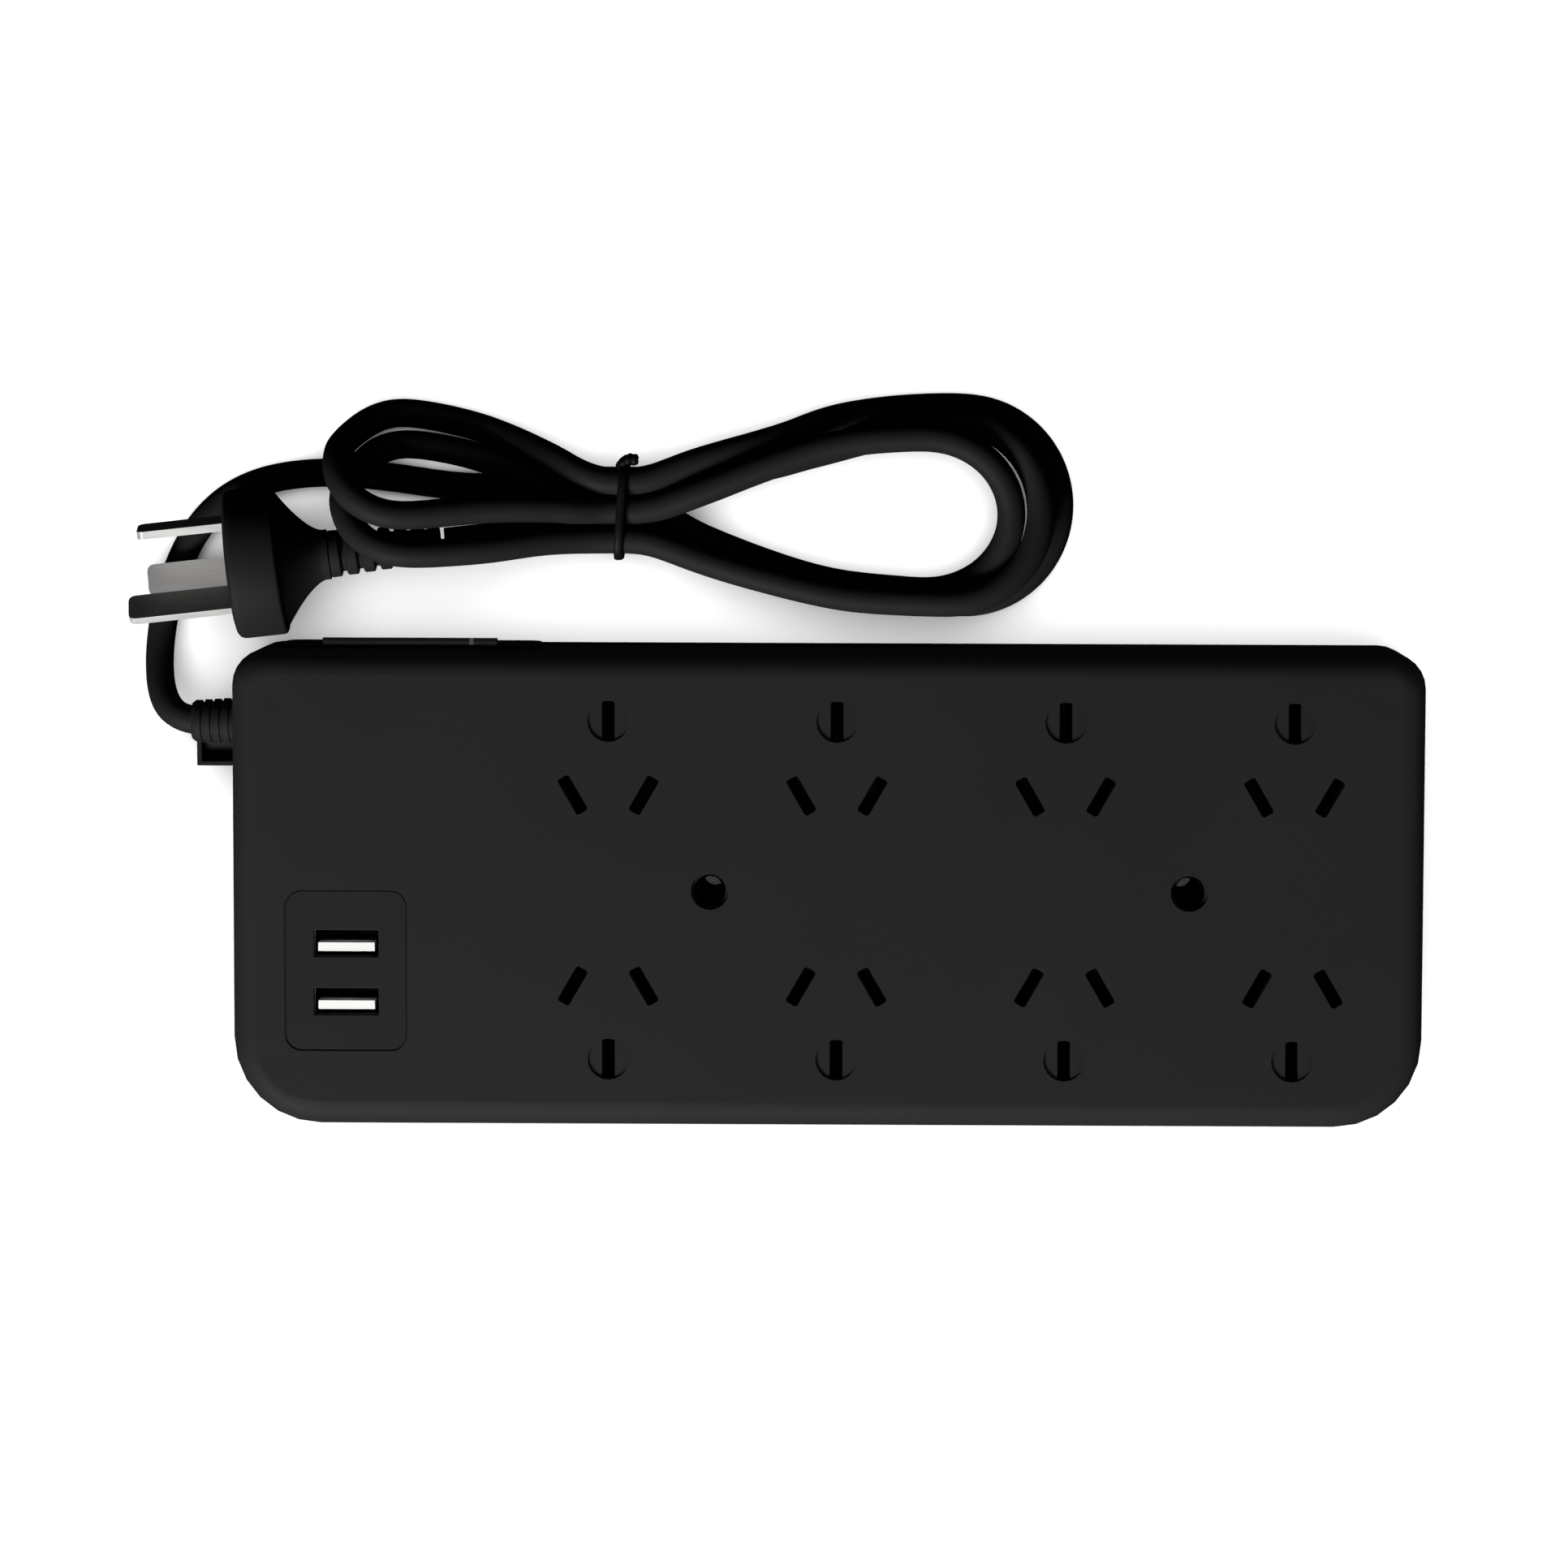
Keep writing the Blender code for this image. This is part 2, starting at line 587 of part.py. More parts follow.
panel_top = BOARD_TOP - PANEL_SET_BACK
panel_bottom = panel_top - PANEL_THICKNESS
usb_bezel = place("usb_bezel", outline_bmesh(panel_outline(0), panel_bottom, panel_top), BEZEL_BLACK)
shell_top = panel_bottom - GAP
shell_bottom = shell_top - SHELL_DEPTH
for i, y in enumerate(PORT_CENTRES_Y):
    x = PANEL_CENTRE[0]
    half_x, half_y = PORT_OPENING[0] / 2, PORT_OPENING[1] / 2
    cut(
        usb_bezel,
        box(f"port_{i}", (x - half_x, y - half_y, 0), (x + half_x, y + half_y, 2 * BOARD_TOP)),
    )
    shell = box(
        f"usb_shell_{i + 1}",
        (x - half_x - SHELL_WALL, y - half_y - SHELL_WALL, shell_bottom),
        (x + half_x + SHELL_WALL, y + half_y + SHELL_WALL, shell_top),
        SHELL_STEEL,
    )
    cut(
        shell,
        box(f"shell_way_{i}", (x - half_x, y - half_y, 0), (x + half_x, y + half_y, 2 * BOARD_TOP)),
    )
    tongue_y = y - TONGUE_OFFSET
    tongue = box(
        f"usb_tongue_{i + 1}",
        (x - TONGUE_WIDTH / 2, tongue_y - TONGUE_THICKNESS / 2, shell_bottom + 1.0 * MM),
        (x + TONGUE_WIDTH / 2, tongue_y + TONGUE_THICKNESS / 2, panel_top - TONGUE_BELOW_MOUTH),
        TONGUE_WHITE,
    )
    fuse(
        tongue,
        box(
            f"tongue_block_{i}",
            (x - half_x + GAP, y - half_y + GAP, shell_bottom),
            (x + half_x - GAP, y + half_y - GAP, shell_bottom + 3.4 * MM),
        ),
    )

circuit_top = shell_bottom - GAP
circuit_bottom = circuit_top - CIRCUIT_BOARD_THICKNESS
circuit_low = (-103.2 * MM, -42.0 * MM)
circuit_high = (-79.6 * MM, -1.4 * MM)
box("usb_board", (*circuit_low, circuit_bottom), (*circuit_high, circuit_top), BOARD_GREEN)
box(
    "usb_transformer",
    (-101.2 * MM, -40.6 * MM, circuit_top + GAP),
    (-90.4 * MM, -28.2 * MM, circuit_top + 10.5 * MM),
    COIL_YELLOW,
)
can_radius, can_height, can_roll = 4.0 * MM, 11.0 * MM, 0.5 * MM
can_profile = [(0, 0), (can_radius - can_roll, 0), (can_radius, can_roll)]
can_profile += [(can_radius, can_height - can_roll), (can_radius - can_roll, can_height), (0, can_height)]
turned(
    "usb_capacitor",
    can_profile,
    16,
    Matrix.Translation((-85.0 * MM, -34.4 * MM, circuit_top + GAP)),
    CAN_BLUE,
)
for i, (x, y) in enumerate(((-101.4 * MM, -4.0 * MM), (-81.6 * MM, -26.0 * MM))):
    post = ((x, y, base_floor_top - 0.5 * MM), (x, y, circuit_bottom - GAP))
    fuse(base_cover, rod(f"post_{i}", *post, 3.6 * MM, 12))


# ---------------------------------------------------------------- rocker switch

switch_body = box(
    "switch_body",
    (SWITCH_X - case_half_length, SWITCH_CASE_BACK_Y, SWITCH_Z - case_half_height),
    (SWITCH_X + case_half_length, flange_front - 0.2 * MM, SWITCH_Z + case_half_height),
    SWITCH_CASE,
)
flange_outline = rounded(
    -BEZEL_LENGTH / 2, BEZEL_LENGTH / 2, -BEZEL_HALF_HEIGHT, BEZEL_HALF_HEIGHT, 3 * MM, 3 * MM, 4
)
stand_up = Matrix.Translation((SWITCH_X, 0, SWITCH_Z)) @ Matrix.Rotation(math.pi / 2, 4, "X")
flange = moved(outline_bmesh(flange_outline, -flange_front, -flange_back), stand_up)
fuse(switch_body, place("switch_flange", flange))
rocker_room = ROCKER_LENGTH / 2 + GAP
cut(
    switch_body,
    box(
        "rocker_well",
        (SWITCH_X - rocker_room, SWITCH_CASE_BACK_Y + SWITCH_CASE_WALL, SWITCH_Z - window_half_height),
        (SWITCH_X + rocker_room, 2 * board_back, SWITCH_Z + window_half_height),
    ),
    rod(
        "axle_way",
        (SWITCH_X - rocker_room - ROCKER_AXLE_LENGTH, ROCKER_PIVOT_Y, SWITCH_Z),
        (SWITCH_X + rocker_room + ROCKER_AXLE_LENGTH, ROCKER_PIVOT_Y, SWITCH_Z),
        ROCKER_AXLE + 2 * GAP,
        20,
    ),
)


def rocker_bmesh():
    """The rocker about its pivot, its outer face hollowed between two raised edges, turned to its rest."""
    reach, half = ROCKER_REACH, ROCKER_HALF_HEIGHT
    side = [(reach - 0.6 * MM, half), (reach, half - 0.5 * MM)]
    hollow = [
        (reach - 0.9 * MM * math.cos(math.pi * t / 2), (half - 0.5 * MM) * t) for t in (0.75, 0.5, 0.25, 0)
    ]
    back = [(-1.8 * MM, half * 0.55), (-1.0 * MM, half)]
    upper = [*back, *side, *hollow]
    profile = upper + [(y, -z) for y, z in reversed(upper[:-1])]
    bm = bmesh.new()
    start = -ROCKER_LENGTH / 2
    face = bm.faces.new([bm.verts.new((start, y, z)) for y, z in profile])
    raised = bmesh.ops.extrude_face_region(bm, geom=[face])["geom"]
    ends = [v for v in raised if isinstance(v, bmesh.types.BMVert)]
    bmesh.ops.translate(bm, verts=ends, vec=(ROCKER_LENGTH, 0, 0))
    return moved(bm, Matrix.Rotation(math.radians(-ROCKER_TRAVEL / 2), 4, "X"))


switch_rocker = place("switch_rocker", rocker_bmesh(), BEZEL_BLACK)
switch_rocker.location = (SWITCH_X, ROCKER_PIVOT_Y, SWITCH_Z)
axle_reach = ROCKER_LENGTH / 2 + ROCKER_AXLE_LENGTH - GAP
axle = rod("rocker_axle", (-axle_reach, 0, 0), (axle_reach, 0, 0), ROCKER_AXLE, 16)
leg_tip_y = -4.2 * MM
leg = box("rocker_leg", (-1.5 * MM, leg_tip_y, -0.9 * MM), (1.5 * MM, 0, 0.9 * MM))
for guide in (axle, leg):
    guide.parent = switch_rocker
fuse(switch_rocker, axle, leg)

# a rocking contact on the supply terminal, with the load terminal behind its upper end
contact_y = ROCKER_PIVOT_Y + leg_tip_y - 1.0 * MM
contact_half = 4.2 * MM
switch_contact = box(
    "switch_contact",
    (-2.5 * MM, -STRIP / 2, -contact_half),
    (2.5 * MM, STRIP / 2, contact_half),
    BRASS,
)
switch_contact.location = (SWITCH_X, contact_y, SWITCH_Z)
switch_contact.rotation_euler.x = math.radians(5)
terminal_start = SWITCH_CASE_BACK_Y - 5.0 * MM
load_height = 3.4 * MM
for name, height, tip in (("supply", 0, contact_y - 0.8 * MM), ("load", load_height, contact_y - 1.3 * MM)):
    z = SWITCH_Z + height
    box(
        f"switch_terminal_{name}",
        (SWITCH_X - 2.0 * MM, terminal_start, z - STRIP / 2),
        (SWITCH_X + 2.0 * MM, tip, z + STRIP / 2),
        BRASS,
    )
    cut(
        switch_body,
        box(
            f"terminal_way_{name}",
            (SWITCH_X - 2.0 * MM - GAP, SWITCH_CASE_BACK_Y - 1 * MM, z - STRIP / 2 - GAP),
            (SWITCH_X + 2.0 * MM + GAP, SWITCH_CASE_BACK_Y + 2 * MM, z + STRIP / 2 + GAP),
        ),
    )


# ---------------------------------------------------------------- busbars with their contact clips


def clip(name, matrix, bottom, top):
    """A folded clip: two leaves joined at the bottom, with room for a pin between them."""
    inner_half = PIN_THICKNESS / 2 + CLIP_CLEARANCE
    outer_half = inner_half + STRIP
    flare = 0.5 * MM
    side = [(outer_half, bottom), (outer_half, top - flare), (outer_half + flare, top)]
    back = [(inner_half + flare, top), (inner_half, top - flare), (inner_half, bottom + STRIP)]
    right = side + back
    profile = right + [(-x, z) for x, z in reversed(right)]
    bm = bmesh.new()
    face = bm.faces.new([bm.verts.new((x, -CLIP_LENGTH / 2, z)) for x, z in profile])
    raised = bmesh.ops.extrude_face_region(bm, geom=[face])["geom"]
    ends = [v for v in raised if isinstance(v, bmesh.types.BMVert)]
    bmesh.ops.translate(bm, verts=ends, vec=(0, CLIP_LENGTH, 0))
    return place(name, moved(bm, matrix))


def busbar(name, row, pin_index, bar_y, heights):
    """A flat strip on edge along a row, with a clip under each socket's pin."""
    bottom, top = heights
    bar_side = row * bar_y
    bar = box(
        name,
        (BAR_START_X, bar_side - STRIP / 2, bottom),
        (BAR_END_X, bar_side + STRIP / 2, bottom + BAR_HEIGHT),
        BRASS,
    )
    for i, x in enumerate(column_places):
        pin = pin_matrices(socket_matrix(x, row))[pin_index]
        at = pin.translation
        fuse(bar, clip(f"{name}_clip_{i}", pin, bottom, top))
        near, far = sorted((at.y, bar_side))
        tab = ((at.x - 1.2 * MM, near, bottom + 0.1 * MM), (at.x + 1.2 * MM, far, bottom + 0.8 * MM))
        fuse(bar, box(f"{name}_tab_{i}", *tab))
    return bar


for row, where in ((-1, "front"), (1, "rear")):
    busbar(f"live_bar_{where}", row, 1, LIVE_BAR_Y, FLAT_CLIP)
    busbar(f"neutral_bar_{where}", row, 2, NEUTRAL_BAR_Y, FLAT_CLIP)
    busbar(f"earth_bar_{where}", row, 0, EARTH_BAR_Y, EARTH_CLIP)


# ---------------------------------------------------------------- strain relief, clamp and leads inside


def along_x(x, y, z, heading=1):
    """Turns a piece made about Z so that it points along X from (x, y, z)."""
    return Matrix.Translation((x, y, z)) @ Matrix.Rotation(heading * math.pi / 2, 4, "Y")


def gland_profile():
    """The strain relief from its inner flange out to its tip, ribbed outside the wall."""
    wall_in = -board_end + WALL
    seat = GLAND_ROOT / 2 - 0.8 * MM
    points = [(GLAND_BORE / 2, 0), (GLAND_COLLAR / 2, 0)]
    flange_end = GLAND_INNER_X - wall_in - GAP
    points += [(GLAND_COLLAR / 2, flange_end), (seat, flange_end)]
    outside = GLAND_INNER_X + board_end + GAP
    points += [(seat, outside)]
    length = GLAND_INNER_X - GLAND_TIP_X
    ribs = 5
    pitch = (length - outside) / ribs
    for i in range(ribs):
        start = outside + pitch * i
        radius = (GLAND_ROOT + (GLAND_TIP - GLAND_ROOT) * i / ribs) / 2
        groove = radius - 0.5 * MM
        points += [(radius, start), (radius, start + 0.62 * pitch)]
        if i < ribs - 1:
            points += [(groove, start + 0.72 * pitch), (groove, start + 0.9 * pitch)]
    points += [(GLAND_TIP / 2 - 0.4 * MM, length), (GLAND_BORE / 2, length)]
    return points


def ring(name, profile, sides, matrix, material=None):
    """A turned piece with a hole through it: the profile closes on itself away from the axis."""
    bm = bmesh.new()
    loop = [bm.verts.new((radius, 0, height)) for radius, height in profile]
    edges = [bm.edges.new(pair) for pair in zip(loop, loop[1:] + loop[:1])]
    bmesh.ops.spin(
        bm,
        geom=loop + edges,
        axis=(0, 0, 1),
        cent=(0, 0, 0),
        angle=2 * math.pi,
        steps=sides,
        use_merge=True,
    )
    bmesh.ops.remove_doubles(bm, verts=bm.verts, dist=1e-6)
    bmesh.ops.transform(bm, matrix=matrix, verts=bm.verts)
    return place(name, bm, material)


inner_mouth = along_x(GLAND_INNER_X, GLAND_Y, GLAND_Z, -1)
cord_gland = ring("cord_gland", gland_profile(), 24, inner_mouth, FLEX_BLACK)

# an open half-round trough moulded along the front side of the strain relief
trough_y, trough_z = GLAND_Y - 6.2 * MM, GLAND_Z - 1.8 * MM
trough_start, trough_end = GLAND_TIP_X + 0.6 * MM, -board_end - GAP
trough_ends = ((trough_start, trough_y, trough_z), (trough_end, trough_y, trough_z))
trough = rod("trough", *trough_ends, 5.6 * MM, 16)
trough_reach = 4 * MM
cut(
    trough,
    rod(
        "trough_scoop",
        (trough_start + 0.9 * MM, trough_y, trough_z + 0.6 * MM),
        (trough_end - 0.9 * MM, trough_y, trough_z + 0.6 * MM),
        4.0 * MM,
        14,
    ),
    box(
        "trough_opening",
        (trough_start - GAP, trough_y - trough_reach, trough_z + 1.1 * MM),
        (trough_end + GAP, trough_y + trough_reach, trough_z + trough_reach),
    ),
)
fuse(cord_gland, trough)

clamp_x, clamp_y, clamp_z = CLAMP_PLACE
tail_points = (
    (-114.9, 31.2, 12.6),
    (-111.4, 31.2, 12.6),
    (-107.2, 30.4, 12.2),
    (-103.2, 29.0, 10.9),
    (-99.4, 26.8, 9.0),
    (-95.8, 24.5, 7.1),
    (-92.0, 23.3, 6.3),
    (-86.0, 23.2, 6.2),
    (TAIL_END_X / MM, 23.2, 6.2),
)
tube("cord_tail", tail_points, FLEX_DIAMETER, FLEX_BLACK, 3, 0.7)

# a saddle over the sheath, screwed down to two pillars of the base
saddle_bottom, saddle_top = clamp_z + 0.4 * MM, clamp_z + 4.7 * MM
cord_clamp = box(
    "cord_clamp",
    (clamp_x - 2.5 * MM, clamp_y - CLAMP_SPAN - 2.6 * MM, saddle_bottom),
    (clamp_x + 2.5 * MM, clamp_y + CLAMP_SPAN + 2.6 * MM, saddle_top),
    SWITCH_CASE,
)
groove = ((clamp_x - 5 * MM, clamp_y, clamp_z), (clamp_x + 5 * MM, clamp_y, clamp_z))
cut(cord_clamp, rod("clamp_groove", *groove, FLEX_DIAMETER + 1.0 * MM, 20))
clamp_screw_profile = [
    (0, 1.0 * MM),
    (1.0 * MM, 1.0 * MM),
    (1.1 * MM, 1.6 * MM),
    (1.6 * MM, 1.6 * MM),
    (2.2 * MM, 0.9 * MM),
    (2.2 * MM, 0),
    (1.1 * MM, 0),
    (1.1 * MM, -6.0 * MM),
    (0, -6.8 * MM),
]
for i, side in enumerate((-1, 1)):
    y = clamp_y + side * CLAMP_SPAN
    pillar = ((clamp_x, y, base_floor_top - 0.5 * MM), (clamp_x, y, clamp_z))
    fuse(base_cover, rod(f"pillar_{i}", *pillar, 5.0 * MM, 16))
    way = ((clamp_x, y, base_floor_top + 0.6 * MM), (clamp_x, y, BOARD_TOP))
    for target in (base_cover, cord_clamp):
        cut(target, rod(f"clamp_screw_way_{i}_{target.name}", *way, 2.2 * MM + 2 * GAP, 12))
    at = Matrix.Translation((clamp_x, y, saddle_top + GAP))
    turned(f"clamp_screw_{i + 1}", clamp_screw_profile, 12, at, STEEL)

# the flex's three cores, the links between the rows, and the feed to the USB supply
core_x = TAIL_END_X / MM + 0.3
bar_x, link_x = BAR_START_X / MM - 0.3, BAR_END_X / MM + 0.3
switch_x, supply_z = SWITCH_X / MM, SWITCH_Z / MM
load_z = (SWITCH_Z + load_height) / MM
core_end_y = terminal_start / MM - 0.3
supply_core = (
    (core_x, 23.2, 7.55),
    (-77.0, 23.2, 8.6),
    (-75.4, 22.4, 12.4),
    (-78.0, 22.2, 15.4),
    (switch_x, 24.2, supply_z),
    (switch_x, core_end_y, supply_z),
)
load_core = (
    (switch_x, core_end_y, load_z),
    (switch_x, 24.4, load_z),
    (-79.0, 19.5, 19.2),
    (-70.0, 14.8, 17.0),
    (-60.0, 14.1, 14.7),
    (bar_x, 14.2, 14.2),
)
neutral_core = (
    (core_x, 22.03, 5.53),
    (-74.0, 20.6, 6.0),
    (-66.0, 20.8, 9.0),
    (-59.0, 22.6, 13.2),
    (bar_x, 23.2, 14.2),
)
earth_core = (
    (core_x, 24.37, 5.53),
    (-74.0, 26.4, 5.6),
    (-66.0, 28.2, 7.4),
    (-59.0, 28.4, 10.6),
    (bar_x, 28.4, 11.2),
)
tube("lead_supply", supply_core, CORE_DIAMETER, LIVE_BROWN)
tube("lead_load", load_core, CORE_DIAMETER, LIVE_BROWN)
tube("lead_neutral", neutral_core, CORE_DIAMETER, NEUTRAL_BLUE)
tube("lead_earth", earth_core, CORE_DIAMETER, EARTH_GREEN)


def row_link(name, half_route, material):
    """A lead from the rear row's bar round to the front row's, the same on both sides of the middle."""
    mirrored = [(x, -y, z) for x, y, z in reversed(half_route[:-1])]
    tube(name, [*half_route, *mirrored], CORE_DIAMETER, material)


live_half = [(link_x, 14.2, 14.2), (103.4, 13.0, 14.2), (104.8, 8.0, 14.0), (105.0, 0.0, 13.6)]
neutral_half = [(link_x, 23.2, 14.2), (105.0, 21.2, 15.0), (108.0, 15.0, 16.0), (108.6, 0.0, 16.5)]
earth_half = [(link_x, 28.4, 11.2), (105.2, 26.0, 9.4), (109.2, 19.0, 7.0), (109.9, 0.0, 6.4)]
row_link("link_live", live_half, LIVE_BROWN)
row_link("link_neutral", neutral_half, NEUTRAL_BLUE)
row_link("link_earth", earth_half, EARTH_GREEN)

usb_x = circuit_high[0] / MM + 0.3
usb_live = ((bar_x, -14.2, 14.2), (-63.0, -14.0, 14.0), (-71.0, -12.6, 13.5), (usb_x, -12.0, 13.5))
usb_neutral = ((bar_x, -23.2, 14.2), (-63.0, -22.6, 14.0), (-71.0, -20.0, 13.5), (usb_x, -19.5, 13.5))
tube("lead_usb_live", usb_live, CORE_DIAMETER, LIVE_BROWN)
tube("lead_usb_neutral", usb_neutral, CORE_DIAMETER, NEUTRAL_BLUE)


# ---------------------------------------------------------------- flex, hank and tie

tube("power_cord", LEAD_POINTS, FLEX_DIAMETER, FLEX_BLACK, 3, 0.9)


def arc(circle, start, end, steps=14):
    """Points round a circle (x, y, radius) from one angle to another, in degrees."""
    x, y, radius = circle
    angles = [math.radians(start + (end - start) * i / steps) for i in range(steps + 1)]
    return [(x + radius * math.cos(angle), y + radius * math.sin(angle)) for angle in angles]


stand_along = Matrix(((0, 0, 1, 0), (1, 0, 0, 0), (0, 1, 0, 0), (0, 0, 0, 1)))
neck_reach = TIE_WIDTH / 2 + GAP
waist_low, waist_high = WAIST_Y - WAIST_WIDTH / 2, WAIST_Y + WAIST_WIDTH / 2
waist_bottom = REST_GAP + TIE_THICKNESS + GAP


def waist_bmesh(grow, start, end):
    """The bundle's section at the tie, in Y and Z, run along X."""
    low_z, high_z = waist_bottom - grow, waist_bottom + WAIST_HEIGHT + grow
    corner = 3 * MM + grow
    section = rounded(waist_low - grow, waist_high + grow, low_z, high_z, corner, corner, 4)
    return moved(outline_bmesh(section, start, end), stand_along)


right_outline = [(TIE_X + neck_reach, waist_low), *arc(RIGHT_LOBE, -104, 100)]
right_outline += [(TIE_X + neck_reach, waist_high)]
left_outline = [(TIE_X - neck_reach, waist_high), *arc(LEFT_LOBE, 72, 268)]
left_outline += [(RELIEF_END_X - 2 * GAP, RELIEF_SIDE_Y), (RELIEF_END_X, RELIEF_SIDE_Y - GAP)]
left_outline += [(RELIEF_END_X, waist_low - 1 * MM), (TIE_X - neck_reach, waist_low)]
for name, side, outline in (("left", -1, left_outline), ("right", 1, right_outline)):
    lobe = place(
        f"cord_hank_{name}",
        outline_bmesh(outline, REST_GAP, REST_GAP + HANK_HEIGHT),
        FLEX_BLACK,
    )
    near, far = sorted((TIE_X + side * GAP / 2, TIE_X + side * (neck_reach + 4 * MM)))
    fuse(lobe, place(f"neck_{name}", waist_bmesh(0, near, far)))

tie_low, tie_high = TIE_X - TIE_WIDTH / 2, TIE_X + TIE_WIDTH / 2
cord_tie = place("cord_tie", waist_bmesh(GAP + TIE_THICKNESS, tie_low, tie_high), FLEX_BLACK)
tie_head_y = waist_high + GAP + TIE_THICKNESS / 2
fuse(
    cord_tie,
    box(
        "tie_head",
        (TIE_X - 1.8 * MM, tie_head_y, waist_bottom + 5.4 * MM),
        (TIE_X + 1.8 * MM, tie_head_y + 3.4 * MM, waist_bottom + 9.4 * MM),
    ),
)
cut(cord_tie, place("tie_way", waist_bmesh(GAP, tie_low - GAP, tie_high + GAP)))


# ---------------------------------------------------------------- plug

plug = (
    Matrix.Translation(PLUG_FACE)
    @ Matrix.Rotation(PLUG_YAW, 4, "Z")
    @ Matrix.Rotation(PLUG_PITCH, 4, "Y")
)
plug_axis = plug @ Matrix.Rotation(math.pi / 2, 4, "Y")
shoulder = FLANGE_RADIUS - 1.2 * MM
plug_profile = [(0, 0), (FLANGE_RADIUS - FLANGE_FILLET, 0)]
plug_profile += [(FLANGE_RADIUS - 0.4 * FLANGE_FILLET, 0.4 * FLANGE_FILLET)]
plug_profile += [(FLANGE_RADIUS, FLANGE_FILLET), (FLANGE_RADIUS, FLANGE_THICKNESS - 0.8 * MM)]
for t in (0, 0.12, 0.3, 0.55, 1):
    radius = NECK_RADIUS + (shoulder - NECK_RADIUS) * (1 - t) ** 1.5
    plug_profile.append((radius, FLANGE_THICKNESS + CONE_LENGTH * t))
plug_end = FLANGE_THICKNESS + CONE_LENGTH + NECK_LENGTH
plug_profile += [(NECK_RADIUS, plug_end), (0, plug_end)]
plug_body = turned("plug_body", plug_profile, 40, plug_axis, FLEX_BLACK)

pitch = RELIEF_LENGTH / RELIEF_RIBS
relief_profile = [(0, 0)]
for i in range(RELIEF_RIBS):
    radius = RELIEF_ROOT + (RELIEF_TIP - RELIEF_ROOT) * i / (RELIEF_RIBS - 1)
    relief_profile += [(radius, pitch * i), (radius, pitch * (i + 0.66))]
    if i < RELIEF_RIBS - 1:
        groove = radius - 0.7 * MM
        relief_profile += [(groove, pitch * (i + 0.74)), (groove, pitch * (i + 0.94))]
relief_profile.append((0, pitch * (RELIEF_RIBS - 0.34)))
relief_axis = plug_axis @ Matrix.Translation((0, 0, plug_end + GAP))
turned("plug_relief", relief_profile, 24, relief_axis, FLEX_BLACK)


def pin_bmesh(angle, radius, across, length, grow):
    """A flat pin in the plug's frame; across is the direction of its width, and grow makes its pocket."""
    half = PIN_WIDTH / 2 + grow
    outline = rounded(-half, half, -grow, PIN_ROOT + length + grow, 0.1 * MM, 1.3 * MM, 3)
    bm = outline_bmesh(outline, -PIN_THICKNESS / 2 - grow, PIN_THICKNESS / 2 + grow)
    width = Vector((0, math.cos(across), math.sin(across)))
    outward = Vector((-1, 0, 0))
    turn = Matrix((width, outward, width.cross(outward))).transposed().to_4x4()
    centre_y = radius * math.cos(angle) - FLANGE_OFFSET * math.cos(PIN_TURN)
    centre_z = radius * math.sin(angle) - FLANGE_OFFSET * math.sin(PIN_TURN)
    return moved(bm, plug @ Matrix.Translation((PIN_ROOT, centre_y, centre_z)) @ turn)


third = math.radians(120)
quarter = math.radians(90)
for name, angle, radius, across, length in (
    ("earth", PIN_TURN, EARTH_PIN_RADIUS, PIN_TURN, EARTH_PIN_LENGTH),
    ("live", PIN_TURN + third, FLAT_PIN_RADIUS, PIN_TURN + third + quarter, FLAT_PIN_LENGTH),
    ("neutral", PIN_TURN - third, FLAT_PIN_RADIUS, PIN_TURN - third + quarter, FLAT_PIN_LENGTH),
):
    place(f"plug_pin_{name}", pin_bmesh(angle, radius, across, length, 0), NICKEL)
    cut(plug_body, place(f"pin_pocket_{name}", pin_bmesh(angle, radius, across, length, GAP)))
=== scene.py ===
"""Looks of the mains power strip: eight sockets, two USB ports, a rear rocker switch and a tied flex."""

import math

import bmesh
import bpy
import numpy as np
from mathutils import Matrix, Vector


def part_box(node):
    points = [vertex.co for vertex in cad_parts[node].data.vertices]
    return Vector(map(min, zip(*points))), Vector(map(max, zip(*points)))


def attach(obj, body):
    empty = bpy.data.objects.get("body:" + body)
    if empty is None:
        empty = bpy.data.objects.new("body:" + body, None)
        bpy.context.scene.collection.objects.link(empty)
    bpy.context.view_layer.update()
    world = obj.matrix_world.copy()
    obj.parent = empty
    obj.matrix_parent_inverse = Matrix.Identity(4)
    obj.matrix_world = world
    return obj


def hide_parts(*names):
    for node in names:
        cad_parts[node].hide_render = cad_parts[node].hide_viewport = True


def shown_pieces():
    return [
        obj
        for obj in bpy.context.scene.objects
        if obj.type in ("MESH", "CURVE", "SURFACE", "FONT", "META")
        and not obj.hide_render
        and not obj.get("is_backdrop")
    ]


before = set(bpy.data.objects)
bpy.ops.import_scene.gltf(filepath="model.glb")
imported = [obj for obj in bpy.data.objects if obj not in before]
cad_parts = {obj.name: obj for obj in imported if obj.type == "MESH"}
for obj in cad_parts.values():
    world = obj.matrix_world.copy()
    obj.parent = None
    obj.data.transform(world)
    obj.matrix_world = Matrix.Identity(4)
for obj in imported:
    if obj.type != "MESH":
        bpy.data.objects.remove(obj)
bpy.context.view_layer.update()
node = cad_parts
mm = 0.001

# ---------------------------------------------------------------- camera, light and floor
# A table-top shot from almost straight above, with the strip lying flat on a white sweep.
# One soft light from the front left models it, with weak fills from the right and from behind,
# and the flex has a copy of that light to itself, which the housing doesn't shade.

